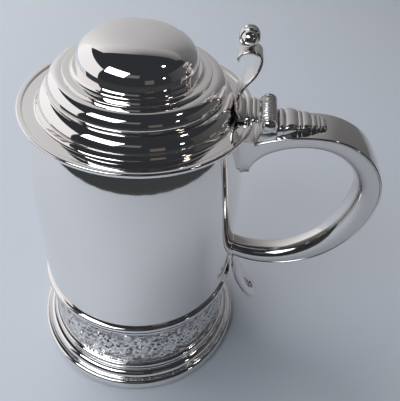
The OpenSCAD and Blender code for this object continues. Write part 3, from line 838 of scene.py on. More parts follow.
    def build(self, shop: Workshop) -> None:
        """Makes the band: (r cos a, r sin a, z), r = ground + depth * height, backed by a plain wall."""
        outer = high("chased_band")[0]
        z0, z1 = low("chased_band")[2], high("chased_band")[2]
        width = 2 * math.pi * outer / self.repeats
        unit = self.relief(width, z1 - z0)
        h = np.tile(unit, (1, self.repeats))
        rng = np.random.default_rng(self.seed)
        grain = rng.random(h.shape)
        grain = (grain + np.roll(grain, 1, axis=1) + np.roll(grain, 1, axis=0)) / 3
        ground = np.clip(1 - h / 0.35, 0, 1)
        h = h + (grain - 0.5) * (0.05 + 0.3 * ground)
        h = np.clip(h + 0.14, 0, 1)
        h[[0, -1]] = 0.8
        n = h.shape[1]
        a = np.arange(n) * 2 * np.pi / n
        z = np.linspace(z0, z1, self.rows)[:, None]
        r = outer - self.depth * (1 - h)
        face = np.stack([r * np.cos(a), r * np.sin(a), z + 0 * r], axis=-1)
        back_r = outer - self.thick
        back = np.stack([back_r * np.cos(a), back_r * np.sin(a), 0 * a], axis=-1)
        rings = np.concatenate([face, [back + [0, 0, z1], back + [0, 0, z0]]])
        hollow = np.concatenate([(1 - h) ** 1.2, np.zeros((2, n))])
        faces = [grid_faces(self.rows + 2, n, True, True)]
        shape = Shape(rings.reshape(-1, 3), faces, {"hollow": hollow.ravel()})
        shop.finish(shape, "chased_band", self.body, FINISHES[Polish.CHASED])


# ---------------------------------------------------------------- handle


@dataclass
class Handle:
    """The hollow scroll handle: strap, shell, sockets, ribbed drop and vented tail.

    Attributes:
        body: the body that the pieces ride on.
        rise: climb of the bow from the lip to its top.
        width: width at the top.
        low_width: width at the lower end.
        depths: depth at the top, at the outermost point and in the lower arm.
        socket_h: height of the upper joint.
        strap_t: thickness of the strap.
        strap_lip: how far the strap overhangs the shell.
        shell_t: thickness of the shell.
        top_out: distance from the lip out to the bow's top.
        top_drop: drop from the rim to the bow's top.
        reach_drop: drop from the rim to the outermost point.
        bottom_drop: drop from the rim to the lower arm.
        low_back: distance from the bow's top back to the lower arm's centre.
        stations: steps along each of the three stretches.
    """

    body: str = "vessel"
    rise: float = 12.4
    width: float = 24.0
    low_width: float = 16.0
    depths: tuple[float, float, float] = (9.6, 13.6, 9.0)
    socket_h: float = 22.7
    strap_t: float = 2.0
    strap_lip: float = 0.4
    shell_t: float = 1.5
    top_out: float = 44.0
    top_drop: float = 0.5
    reach_drop: float = 42.0
    bottom_drop: float = 106.5
    low_back: float = 17.0
    stations: int = 72

    def __post_init__(self) -> None:
        """Reads the handle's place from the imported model."""
        self.vessel = Vessel()
        self.x0 = low("handle_strap")[0]
        self.reach = high("handle_strap")[0]
        rim = self.vessel.rim_z
        self.top_r = self.vessel.lip_r + self.top_out
        self.top_z = rim - self.top_drop
        self.reach_z = rim - self.reach_drop
        self.bottom_z = rim - self.bottom_drop
        self.run = self.top_out - 1

    def bow_top(self, x: np.ndarray) -> np.ndarray:
        """Height of the hinge end: top - rise * ((top_r - x) / run)^2, level past top_r."""
        return self.top_z - self.rise * (np.maximum(self.top_r - x, 0) / self.run) ** 2

    def curve(self, u: np.ndarray, inner: bool) -> np.ndarray:
        """The bow's outer or inner line in XZ.

        u runs 0 to 1 over the hinge end (a parabola, or a quarter ellipse inside), 1 to 2
        over the shoulder (a quarter ellipse) and 2 to 3 over the lower arm (an ellipse
        that turns up again to meet the drum).

        Args:
            u: parameters, 0 to 3.
            inner: True for the inner line.

        Returns:
            Points (x, z).
        """
        top, side, lower = self.depths
        if inner:
            x1, z1 = self.top_r - 5, self.top_z - top
            x2, z2 = self.top_r - self.low_back - 4, self.bottom_z + lower
            reach = self.reach - side
        else:
            x1, z1, x2, z2 = self.top_r, self.top_z, self.top_r - self.low_back, self.bottom_z
            reach = self.reach
        a1 = np.radians(90 * np.clip(u, 0, 1))
        if inner:
            z0 = self.bow_top(np.array([self.x0]))[0] - self.socket_h
            first = np.column_stack([x1 - (x1 - self.x0) * np.cos(a1), z0 + (z1 - z0) * np.sin(a1)])
        else:
            x = self.x0 + (x1 - self.x0) * np.clip(u, 0, 1)
            first = np.column_stack([x, self.bow_top(x)])
        a2 = np.radians(90 * (2 - np.clip(u, 1, 2)))
        second = np.column_stack([
            x1 + (reach - x1) * np.cos(a2), self.reach_z + (z1 - self.reach_z) * np.sin(a2),
        ])
        turn = 90 + math.degrees(math.asin((x2 - self.x0) / (reach - x2)))
        a3 = np.radians(turn * (np.clip(u, 2, 3) - 2))
        third = np.column_stack([
            x2 + (reach - x2) * np.cos(a3), self.reach_z - (self.reach_z - z2) * np.sin(a3),
        ])
        return np.where((u <= 1)[:, None], first, np.where((u <= 2)[:, None], second, third))

    def half_width(self, u: np.ndarray) -> np.ndarray:
        """Half the width: level to u = 1.5, then easing down to the lower end."""
        t = smooth_step((u - 1.5) / 1.5)
        return (self.width + (self.low_width - self.width) * t) / 2

    def rings(self, u: np.ndarray, section: np.ndarray) -> np.ndarray:
        """Sections set square across the bow.

        A section point (y share, y millimetres, depth millimetres, depth share) lands at
        outer + n * (millimetres + share * depth), where n points from the outer line to
        the inner one.

        Args:
            u: stations along the bow.
            section: points of the section, the same at every station or one set for each.

        Returns:
            Array (stations, points, 3).
        """
        o, i = self.curve(u, False), self.curve(u, True)
        d = np.linalg.norm(i - o, axis=1)
        n = (i - o) / d[:, None]
        w = self.half_width(u)
        section = np.broadcast_to(section, (len(u),) + section.shape[-2:])
        deep = section[:, :, 2] + section[:, :, 3] * d[:, None]
        y = section[:, :, 0] * w[:, None] + section[:, :, 1]
        x = o[:, 0][:, None] + n[:, 0][:, None] * deep
        z = o[:, 1][:, None] + n[:, 1][:, None] * deep
        return np.stack([x, y, z], axis=-1)

    def path(self) -> np.ndarray:
        """Stations along the whole bow."""
        return np.linspace(0, 3, 3 * self.stations + 1)

    def strap(self) -> Shape:
        """The outer strap: a bar with round edges and a back crowned by 0.5 mm."""
        t, edge, crown = self.strap_t, 1.0, 0.5
        y = np.linspace(-1, 1, 25)
        back = np.column_stack([y, -edge * y, crown * y ** 2, 0 * y])
        a = np.radians(np.linspace(-90, 90, 9))
        drop = t - crown
        half = drop / 2
        side = np.column_stack([0 * a + 1, edge * (np.cos(a) - 1), crown + half + half * np.sin(a), 0 * a])
        flat = np.array([[0.5, 0, t, 0], [-0.5, 0, t, 0]])
        other = side[::-1] * [-1, -1, 1, 1]
        return swept(self.rings(self.path(), chain(back, side[1:], flat, other[:-1])))

    @staticmethod
    def power(u: np.ndarray) -> np.ndarray:
        """Power of the section: near square at the hinge end, rounder in the lower arm."""
        return 0.42 + 0.32 * smooth_step(np.asarray(u, dtype=float) / 3)

    def bow_section(self, u: float, draw: float, steps: int) -> np.ndarray:
        """A U at one station: y = cos^e a, depth share = sin^e a, drawn in by a wall's thickness."""
        a = np.radians(np.linspace(0, 180, steps + 1))
        e = float(self.power(u))
        s = np.clip(np.sin(a), 0, 1) ** e
        c = np.sign(np.cos(a)) * np.abs(np.cos(a)) ** e
        deep = (self.strap_t - 0.05 + draw / 3) * (1 - s) - draw * s
        return np.column_stack([c, -(self.strap_lip + draw) * c, deep, s])

    def shell(self) -> Shape:
        """The shell under the strap, with its own thickness."""
        path = self.path()
        sections = [
            chain(self.bow_section(u, 0, 64), self.bow_section(u, self.shell_t, 64)[::-1]) for u in path
        ]
        return swept(self.rings(path, np.array(sections)))

    def socket(self, u: float, flare: float) -> Shape:
        """A fitted end from the bow to the drum's wall, flared like a fillet of solder.

        Rings run from the bow's end to x = sqrt(r(z)^2 - y^2) on the drum, and each is
        spread about its middle by flare * k^3 millimetres, k from 0 to 1.

        Args:
            u: the bow's end, 0 or 3.
            flare: spread at the drum, in millimetres.

        Returns:
            The socket.
        """
        o, i = self.curve(np.array([u]), False)[0], self.curve(np.array([u]), True)[0]
        w = self.half_width(np.array([u]))[0] - 0.15
        u_shape = self.bow_section(u, 0, 64)
        z_of = o[1] + (i[1] - o[1]) * u_shape[:, 3]
        section = np.column_stack([w * u_shape[:, 0], z_of])
        flat_y = np.linspace(-w, w, 14)[1:-1]
        section = chain(section, np.column_stack([flat_y, np.full(12, o[1] - 0.3 * np.sign(o[1] - i[1]))]))
        middle = section.mean(axis=0)
        away = section - middle
        away /= np.linalg.norm(away, axis=1, keepdims=True)
        rings = []
        for k in np.linspace(0, 1, 9):
            spread = section + away * flare * k ** 3
            r = self.vessel.taper(spread[:, 1]) - 0.3
            wall = np.sqrt(np.maximum(r ** 2 - spread[:, 0] ** 2, 0))
            x = (self.x0 + 0.1) * (1 - k) + wall * k
            rings.append(np.column_stack([x, spread]))
        return swept(np.array(rings))

    def drop(self, start: float) -> Shape:
        """The ribbed drop: cross sections swell into a rounded rib for each share of its length.

        At share t the section is a squared half ellipse, |y / w|^6 + |z / h|^6 = 1, and
        inside a rib both w and h gain in proportion to sqrt(1 - k^2), k from -1 to 1.

        Args:
            start: x where the drop begins.

        Returns:
            The drop.
        """
        shares = np.array([0.13, 0.27, 0.09, 0.19, 0.12, 0.08, 0.12])
        length = high("handle_drop")[0] - start
        ends = np.concatenate([[0], np.cumsum(shares)])
        t, bulge = [], []
        for k, share in enumerate(shares):
            q = -np.cos(np.linspace(0, np.pi, 17))
            t.append(ends[k] + share * (q + 1) / 2)
            bulge.append(np.sqrt(share / shares.max()) * np.sqrt(np.maximum(1 - q ** 2, 0)))
        t, bulge = np.concatenate(t), np.concatenate(bulge)
        x = start + length * t
        base = self.bow_top(x)
        rib = (1.7 - 0.85 * t) * bulge
        tall = 5.2 - 3.8 * t + rib + 0.25
        half = 10 - 6 * t ** 1.6 - 0.2 + 0.2 * bulge
        a = np.radians(np.linspace(0, 180, 61))
        c = np.sign(np.cos(a)) * np.abs(np.cos(a)) ** (2 / 6)
        s = np.abs(np.sin(a)) ** (2 / 6)
        y = half[:, None] * c[None, :]
        z = (base - 0.25)[:, None] + tall[:, None] * s[None, :]
        xs = np.repeat(x[:, None], len(a), axis=1)
        shape = swept(np.stack([xs, y, z], axis=-1))
        pinch = np.clip(1 - bulge / 0.55, 0, 1) ** 1.5
        return Shape(shape.points, shape.faces, {"hollow": np.repeat(pinch, len(a))})

    def tail(self) -> Shape:
        """The tail: a tongue round an oval vent, curling outwards as it falls.

        In the flat it is a ring of rays from the vent's edge to the tongue's edge. A point
        s millimetres down it lies at the back line's point plus h times the line's normal,
        and both edges are rounded over.
        """
        long, sweep_out, thick, wide, tip = 48.0, 21.0, 3.4, 7.5, 8.5
        top_x, top_z = self.x0 + 0.3, self.curve(np.array([3.0]), False)[0][1]
        vent_t, vent_r, vent_l = 0.8, 2.1, 1.6
        turns = 160
        a = np.linspace(0, 2 * np.pi, turns, endpoint=False)
        ray = np.column_stack([np.sin(a), np.cos(a)])  # (across, down)
        vent_s = vent_t * long
        hole = np.column_stack([vent_r * ray[:, 0], vent_r * ray[:, 1] + vent_l * np.sign(ray[:, 1])])
        reach = np.full(turns, 1e9)
        slope = (wide - tip) / (long - tip)
        for sign in (-1, 1):
            side = sign * ray[:, 0] + slope * ray[:, 1]
            dist = (wide - slope * vent_s) / np.where(side > 1e-9, side, np.nan)
            reach = np.fmin(reach, np.nan_to_num(dist, nan=1e9))
        up = np.where(ray[:, 1] < -1e-6, (vent_s + 1.2) / np.maximum(-ray[:, 1], 1e-6), 1e9)
        reach = np.minimum(reach, up)
        gap = long - tip - vent_s
        b = ray[:, 1] * gap
        tip_reach = b + np.sqrt(np.maximum(b ** 2 - gap ** 2 + tip ** 2, 0))
        past = vent_s + reach * ray[:, 1] > long - tip
        reach = np.where(past & (b ** 2 - gap ** 2 + tip ** 2 > 0), tip_reach, reach)
        edge = ray * reach[:, None]
        steps = [
            (0.0, 0.22), (0.03, 0.08), (0.08, 0.0), (0.3, -0.05), (0.6, -0.05), (0.86, 0.0), (0.95, 0.12),
            (1.0, 0.35),
        ]
        loop = [(k, drop) for k, drop in steps] + [(k, 1 - drop) for k, drop in reversed(steps)]
        rings = []
        for k, h in loop:
            flat = hole * (1 - k) + edge * k
            t = np.clip((vent_s + flat[:, 1]) / long, -0.03, 1)
            climb = np.sign(t) * np.abs(t) ** 2.2
            px, pz = top_x + sweep_out * np.maximum(climb, 0), top_z - long * t
            lean = np.arctan2(long, 2.2 * sweep_out * np.abs(t) ** 1.2)
            rings.append(np.column_stack([
                px + thick * h * np.sin(lean), flat[:, 0], pz + thick * h * np.cos(lean),
            ]))
        points = np.array(rings).reshape(-1, 3)
        return Shape(points, [grid_faces(len(rings), turns, True, True)])

    def build(self, shop: Workshop) -> None:
        """Makes and dresses every piece."""
        held, cast = FINISHES[Polish.HANDLED], FINISHES[Polish.CAST]
        shop.finish(self.strap(), "handle_strap", self.body, held)
        shop.finish(self.shell(), "handle_shell", self.body, held)
        shop.finish(self.socket(0.0, 1.2), "upper_socket", self.body, held)
        shop.finish(self.socket(3.0, 0.9), "lower_socket", self.body, held)
        shop.finish(self.tail(), "handle_tail", self.body, held)
        shop.finish(self.drop(low("handle_drop")[0]), "handle_drop", self.body, cast)


# ---------------------------------------------------------------- hinge


@dataclass
class Hinge:
    """Five knuckles on a pin: the fixed seat and the lid's ribbed leaf.

    Attributes:
        barrel: length of the knuckles together.
        knuckle_r: radius of a knuckle.
        pin_r: radius of the pin.
        gap: gap between two knuckles.
        collar_r: radius of the collar at each end.
        button_r: radius of the domed button at each end.
        leaf_half: half the width of the leaf and the seat.
        leaf_t: thickness of the leaf between its ribs.
        rib_h: height of the leaf's broadest rib.
        ribs_in: from the leaf's inner end to the first rib.
        groove: depth of the groove round a knuckle.
        fit: gap between the pin and a knuckle's bore.
    """

    barrel: float = 21.0
    knuckle_r: float = 4.4
    pin_r: float = 1.6
    gap: float = 0.2
    collar_r: float = 4.5
    button_r: float = 3.5
    leaf_half: float = 11.0
    leaf_t: float = 1.75
    rib_h: float = 1.7
    ribs_in: float = 3.1
    groove: float = 0.35
    fit: float = 0.04

    def __post_init__(self) -> None:
        """Reads the pin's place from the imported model."""
        box_low, box_high = low("hinge_pin"), high("hinge_pin")
        self.centre = ((box_low[0] + box_high[0]) / 2, (box_low[2] + box_high[2]) / 2)
        self.handle = Handle()

    def knuckle(self, k: int) -> Shape:
        """One knuckle: a short tube with rounded ends and a fine groove round its middle."""
        step = self.barrel / 5
        half = (step - self.gap) / 2
        y = k * step
        r, low_r, bore = self.knuckle_r, self.knuckle_r - self.groove, self.pin_r + self.fit
        return turned(eased([
            (bore, y - half), (r, y - half, 0.7), (r, y - 0.5), (low_r, y - 0.12, 0.1),
            (low_r, y + 0.12, 0.1), (r, y + 0.5), (r, y + half, 0.7), (bore, y + half),
        ], 4), 72, self.centre)

    def cap(self, side: int) -> Shape:
        """A collar and a domed button on one end of the pin."""
        y0, r, b = self.barrel / 2, self.collar_r, self.button_r
        collar = arc((r - 0.45, 0.45), 0.45, -90, 0, 4)
        crown = arc((r - 0.5, 0.7), 0.5, 0, 90, 5)
        button = arc((0, 0), 1.0, 0, 90, 20) * [b, 2.4] + [0, 1.2]
        button[-1, 0] = 0
        outline = chain((0, 0), collar, crown, button)
        outline[:, 1] = side * (outline[:, 1] + y0)
        return turned(outline, 72, self.centre)

    def seat(self) -> Shape:
        """The fixed plate on the handle with its three knuckles."""
        x, z = self.centre
        start, end = low("hinge_seat")[0], high("hinge_seat")[0]
        top = z - self.knuckle_r - 0.5
        xs = np.linspace(end, start, 16)
        under = np.column_stack([xs, self.handle.bow_top(xs) - 0.1])
        front = (start, under[-1, 1] + 0.9)
        base = plate(chain(front, (x - 3, top), (end, top), under), self.leaf_half, 0.5)
        shape = base
        for k in (-2, 0, 2):
            web = plate(np.array([
                (x - 3, top - 1), (x + self.knuckle_r, top - 1), (x + self.knuckle_r, z),
                (x - 0.8 * self.knuckle_r, z - 0.6 * self.knuckle_r),
            ]), (self.barrel / 5 - self.gap) / 2, 0.3)
            web.points[:, 1] += k * self.barrel / 5
            shape = shape + web + self.knuckle(k)
        return shape

    def leaf(self) -> Shape:
        """The lid's plate: three round ribs across it and two knuckles.

        A rib of length l rises by rib_h * sqrt(l / longest) * sqrt(1 - k^2) over the plate
        and its ends swell outwards by the same share.
        """
        x, z = self.centre
        x0, z0 = low("hinge_leaf")[0], high("lid_wire")[2]
        x1 = x - self.knuckle_r - 0.4
        shares = np.array([0.44, 0.34, 0.22])
        ends = np.concatenate([[0], np.cumsum(shares)])
        ribs_x = x0 + self.ribs_in
        xs, bulge = [np.array([x0, ribs_x])], [np.zeros(2)]
        for k, share in enumerate(shares):
            q = -np.cos(np.linspace(0, np.pi, 15))
            xs.append(ribs_x + (x1 - ribs_x) * (ends[k] + share * (q + 1) / 2))
            bulge.append(math.sqrt(share / shares.max()) * np.sqrt(np.maximum(1 - q ** 2, 0)))
        x_all, b_all = np.concatenate(xs), np.concatenate(bulge)
        keep = np.concatenate([[True], np.diff(x_all) > 1e-6])
        x_all, b_all = x_all[keep], b_all[keep]
        a = np.radians(np.linspace(0, 180, 37))
        c = np.sign(np.cos(a)) * np.abs(np.cos(a)) ** (2 / 4.5)
        s = np.abs(np.sin(a)) ** (2 / 4.5)
        y = (self.leaf_half - 0.5 + 0.5 * b_all)[:, None] * c[None, :]
        h = z0 + (self.leaf_t + self.rib_h * b_all)[:, None] * s[None, :]
        body = swept(np.stack([np.repeat(x_all[:, None], len(a), 1), y, h], axis=-1))
        pinch = np.repeat(np.clip(1 - b_all / 0.6, 0, 1) ** 1.5, len(a))
        shape = Shape(body.points, body.faces, {"hollow": pinch})
        for k in (-1, 1):
            web = plate(np.array([
                (x1 - 1, z0), (x, z - self.knuckle_r + 2), (x, z + self.knuckle_r - 2),
                (x1 - 1, z0 + self.leaf_t + 0.05),
            ]), (self.barrel / 5 - self.gap) / 2, 0.3)
            web.points[:, 1] += k * self.barrel / 5
            shape = shape + web + self.knuckle(k)
        return shape

    def build(self, shop: Workshop) -> None:
        """Makes and dresses every piece."""
        cast = FINISHES[Polish.CAST]
        half = self.barrel / 2
        pin = turned(eased([(0, -half), (self.pin_r, -half), (self.pin_r, half), (0, half)]), 64, self.centre)
        shop.finish(self.seat(), "hinge_seat", "vessel", cast)
        shop.finish(pin, "hinge_pin", "vessel", WIRE)
        shop.finish(self.cap(-1) + self.cap(1), "pin_caps", "vessel", cast)
        shop.finish(self.leaf(), "hinge_leaf", "lid", cast)


# ---------------------------------------------------------------- lid


@dataclass
class Lid:
    """Cover, dome, wire and locating ring.

    Attributes:
        body: the body that the pieces ride on.
        thick: thickness of the metal.
        wire_w: radial width of the flange's wire.
        low_in: distance from the flange's edge in to the lower swell.
        high_in: distance from the flange's edge in to the upper swell.
        dome_in: distance from the flange's edge in to the dome.
        power: squareness of the dome, 2 being an ellipse.
    """

    body: str = "lid"
    thick: float = 1.4
    wire_w: float = 3.0
    low_in: float = 10.4
    high_in: float = 16.0
    dome_in: float = 30.4
    power: float = 2.7

    def __post_init__(self) -> None:
        """Reads the lid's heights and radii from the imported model."""
        self.radius = high("lid_wire")[0]
        self.wire_z = low("lid_wire")[2], high("lid_wire")[2]
        self.flange_z = self.wire_z[0] + self.thick
        self.seat_z = low("lid_dome")[2]
        self.seat_r = high("lid_dome")[0]
        self.dome_z = high("lid_dome")[2]
        self.dome_r = self.radius - self.dome_in

    def cover_side(self, t: float) -> np.ndarray:
        """The cover's upper side drawn in by t: flange, cove, lower swell, crease, upper swell."""
        lower, upper = self.radius - self.low_in, self.radius - self.high_in
        f, s = self.flange_z, self.seat_z
        return chain(
            (self.radius - self.wire_w, f - t), (lower + 3.5, f - t),
            arc((lower + 2.2, f + 1.6), 1.6 + t, -90, -160, 12),
            arc((lower - 7.6, f + 1.8), 7.6 - t, 6, 74, 40),
            arc((upper - 6, s - 6), 6 - t, -28, 90, 50), (self.seat_r - 3, s - t),
        )

    def cover(self) -> Shape:
        """The spun cover: one sheet of even thickness."""
        return turned(chain(self.cover_side(0), self.cover_side(self.thick)[::-1]), 360)

    def dome_side(self, t: float) -> np.ndarray:
        """The dome's side drawn in by t: r = R cos^(2/p) a, z = z0 + H sin^(2/p) a."""
        z0 = self.seat_z + self.thick + 1.4
        a = np.radians(90 * smooth_step(np.linspace(0, 1, 61)) * 0.5 + 45 * np.linspace(0, 1, 61))
        e = 2 / self.power
        r = (self.dome_r - t) * np.clip(np.cos(a), 0, 1) ** e
        r[-1] = 0
        return np.column_stack([r, z0 + (self.dome_z - z0 - t) * np.sin(a) ** e])

    def dome(self) -> Shape:
        """The dome on its stepped seat, hollow beneath."""
        z, r, s = self.seat_z + self.thick, self.seat_r, self.dome_r
        return turned(chain(
            (r, self.seat_z), arc((r - 0.5, z - 0.5), 0.5, 0, 90, 5), (s + 3.4, z),
            arc((s + 3.4, z + 2.2), 2.2, -90, -160, 12), self.dome_side(0), self.dome_side(self.thick)[::-1],
            (s - self.thick, self.seat_z),
        ), 360)

    def wire(self) -> Shape:
        """The flange's wire: flat beneath, a round outer shoulder and a soft inner one."""
        z0, z1 = self.wire_z
        r, w = self.radius, self.radius - self.wire_w
        foot = arc((r - 0.5, z0 + 0.5), 0.5, -90, 0, 5)
        shoulder = arc((r - 0.9, z1 - 0.9), 0.9, 0, 90, 9)
        return turned(chain((w, z0), foot, shoulder, arc((w + 0.6, z1 - 0.6), 0.6, 90, 180, 7)), 360)

    def bezel(self) -> Shape:
        """The locating ring under the lid, with an eased lower edge."""
        z1 = self.wire_z[0]
        r0, r1, z0 = high("lid_bezel")[0] - 1.4, high("lid_bezel")[0], low("lid_bezel")[2]
        outline = [(r0, z1), (r0, z0, 0.3), (r1 - 0.4, z0, 0.3), (r1, z0 + 0.8, 0.4), (r1, z1)]
        return turned(eased(outline), 240)

    def build(self, shop: Workshop) -> None:
        """Makes and dresses every piece."""
        mirror = FINISHES[Polish.MIRROR]
        shop.finish(self.cover(), "lid_cover", self.body, mirror)
        shop.finish(self.dome(), "lid_dome", self.body, mirror)
        shop.finish(self.wire(), "lid_wire", self.body, TRIM)
        shop.finish(self.bezel(), "lid_bezel", self.body, FINISHES[Polish.SATIN])


@dataclass
class Thumbpiece:
    """The scroll thumbpiece with the roll in its curl.

    Attributes:
        body: the body that the pieces ride on.
        thick: thickness of the scroll's metal.
        width: width at the foot.
        top_width: width at the top.
        roll_r: radius of the roll.
        roll_w: width of the roll.
        eye_r: radius of the boss on each end.
        curl: half the width and half the height of the curl that holds the roll.
        height: height of the scroll over the flange.
    """

    body: str = "lid"
    thick: float = 1.9
    width: float = 20.0
    top_width: float = 12.0
    roll_r: float = 4.8
    roll_w: float = 5.5
    eye_r: float = 3.9
    curl: tuple[float, float] = (5.4, 4.0)
    height: float = 35.0

    def __post_init__(self) -> None:
        """Sets out the scroll's arcs from the hinge's leaf."""
        leaf_x, leaf_z = low("hinge_leaf")[0], high("lid_wire")[2]
        flange_z = low("lid_wire")[2] + 1.4
        foot_r, sweep_r, sweep_a, back_r = 7.0, 19.0, 42.5, 14.5
        foot = np.array([leaf_x + 5, leaf_z + foot_r + 0.7])
        sweep_c = foot + [sweep_r - foot_r, 0]
        a = math.radians(sweep_a)
        end = sweep_c + sweep_r * np.array([-math.cos(a), math.sin(a)])
        back_c = end - back_r * np.array([math.cos(a), -math.sin(a)])
        half_w, half_h = self.curl
        curl_c = np.array([back_c[0] + back_r - half_w, flange_z + self.height - half_h])
        self.line = smoothed(chain(
            arc(tuple(foot), foot_r, 238, 180, 16),
            arc(tuple(sweep_c), sweep_r, 178, 180 - sweep_a, 24),
            arc(tuple(back_c), back_r, 3 - sweep_a, -2, 14),
            arc((0, 0), 1.0, 0, 195, 50) * self.curl + curl_c,
        ), 200, 0.9)
        roll_low, roll_high = low("thumb_volute"), high("thumb_volute")
        self.roll_c = ((roll_low[0] + roll_high[0]) / 2, roll_high[2] - self.roll_r)

    def scroll(self) -> Shape:
        """The scroll: a tapering strip with round edges, carried along its line.

        Half the width eases from the foot's to the top's between shares 0.1 and 0.75 of
        the line, and the section is a squared ellipse, |y / w|^7 + |n / t|^2.6 = 1.
        """
        n = side_of(self.line)
        share = np.linspace(0, 1, len(self.line))
        half = (self.width + (self.top_width - self.width) * smooth_step((share - 0.1) / 0.65)) / 2
        thick = self.thick * (1.15 - 0.2 * share) / 2
        thick = thick * np.clip(np.minimum(share, 1 - share) / 0.012, 0.35, 1) ** 0.5
        a = np.linspace(0, 2 * np.pi, 64, endpoint=False)
        c = np.sign(np.cos(a)) * np.abs(np.cos(a)) ** (2 / 7)
        s = np.sign(np.sin(a)) * np.abs(np.sin(a)) ** (2 / 2.6)
        off = thick[:, None] * s[None, :]
        y = (half[:, None] - 0.15) * c[None, :]
        x = self.line[:, 0][:, None] + n[:, 0][:, None] * off
        z = self.line[:, 1][:, None] + n[:, 1][:, None] * off
        return swept(np.stack([x, y, z], axis=-1))

    def roll(self) -> Shape:
        """The roll: a short barrel with rounded rims and a groove turned near each end."""
        w, r = self.roll_w / 2, self.roll_r
        return turned(eased([
            (0, -w), (r, -w, 1.1), (r, -w + 2.0), (r - 0.3, -w + 2.3, 0.2), (r, -w + 2.6), (r, w - 2.6),
            (r - 0.3, w - 2.3, 0.2), (r, w - 2.0), (r, w, 1.1), (0, w),
        ], 5), 72, self.roll_c)

    def eye(self, side: int) -> Shape:
        """A round boss on one end of the roll."""
        ball = arc((0, 0), self.eye_r, 0, 90, 16)
        ball[-1, 0] = 0
        outline = chain((0, -0.2), (self.eye_r, -0.2), ball)
        outline[:, 1] = side * (outline[:, 1] + self.roll_w / 2)
        return turned(outline, 64, self.roll_c)

    def build(self, shop: Workshop) -> None:
        """Makes and dresses every piece."""
        cast = FINISHES[Polish.CAST]
        shop.finish(self.scroll(), "thumb_scroll", self.body, cast)
        shop.finish(self.roll(), "thumb_volute", self.body, cast)
        shop.finish(self.eye(-1) + self.eye(1), "volute_eyes", self.body, cast)


# ---------------------------------------------------------------- stage


PALE = (1.0, 1.0, 1.03)
DAYLIGHT = (0.88, 0.95, 1.0)
WARM = (1.0, 0.9, 0.82)
LID_HEIGHT = 0.19  # metres, where the square-on cards face


@dataclass(frozen=True)
class Card:
    """A light or dark card that the metal reflects and the camera doesn't see.

    Attributes:
        name: the card's name.
        corners: its four corners in metres, the lower or nearer edge first.
        colour: colour of its light.
        powers: brightness at each corner.
        in_the_way: whether the card also lights and shades the floor.
    """

    name: str
    corners: tuple[tuple[float, float, float], ...]
    colour: tuple[float, float, float]
    powers: tuple[float, float, float, float]
    in_the_way: bool = True

    def build(self) -> bpy.types.Object:
        """Makes the card as a grid whose brightness runs evenly from corner to corner."""
        steps = 12
        u, v = np.meshgrid(np.linspace(0, 1, steps + 1), np.linspace(0, 1, steps + 1))
        weights = np.stack([(1 - u) * (1 - v), u * (1 - v), u * v, (1 - u) * v], axis=-1).reshape(-1, 4)
        mesh = bpy.data.meshes.new(self.name)
        points = weights @ np.array(self.corners)
        mesh.from_pydata(points.tolist(), [], grid_faces(steps + 1, steps + 1, False, False).tolist())
        glow = mesh.attributes.new("glow", "FLOAT", "POINT")
        glow.data.foreach_set("value", (weights @ np.array(self.powers)).astype(np.float32))
        obj = bpy.data.objects.new(self.name, mesh)
        bpy.context.scene.collection.objects.link(obj)
        mat = bpy.data.materials.new(self.name)
        mat.use_nodes = True
        mat.node_tree.nodes.clear()
        out = mat.node_tree.nodes.new("ShaderNodeOutputMaterial")
        shine = mat.node_tree.nodes.new("ShaderNodeEmission")
        shine.inputs["Color"].default_value = (*self.colour, 1)
        power = mat.node_tree.nodes.new("ShaderNodeAttribute")
        power.attribute_name = "glow"
        mat.node_tree.links.new(power.outputs["Fac"], shine.inputs["Strength"])
        mat.node_tree.links.new(shine.outputs[0], out.inputs["Surface"])
        mesh.materials.append(mat)
        obj.visible_camera = False
        obj.visible_shadow = self.in_the_way
        obj.visible_diffuse = self.in_the_way
        return obj


def facing(name: str, azimuth: float, rise: float, far: float, size: tuple[float, float],
           colour: tuple[float, float, float], power: float) -> Card:
    """A square-on card seen from the lid.

    Args:
        name: the card's name.
        azimuth: its direction round the object, in degrees from +X.
        rise: its height over the horizon, in degrees.
        far: its distance in metres.
        size: its width and height in metres.
        colour: colour of its light.
        power: its brightness.

    Returns:
        The card.
    """
    a, e = math.radians(azimuth), math.radians(rise)
    ahead = np.array([math.cos(e) * math.cos(a), math.cos(e) * math.sin(a), math.sin(e)])
    across = np.array([-math.sin(a), math.cos(a), 0.0]) * size[0] / 2
    up = np.cross(ahead, across / np.linalg.norm(across)) * size[1] / 2
    middle = ahead * far + [0, 0, LID_HEIGHT]
    signs = ((-1, -1), (1, -1), (1, 1), (-1, 1))
    corners = tuple(tuple(middle + i * across + j * up) for i, j in signs)
    return Card(name, corners, colour, (power,) * 4)


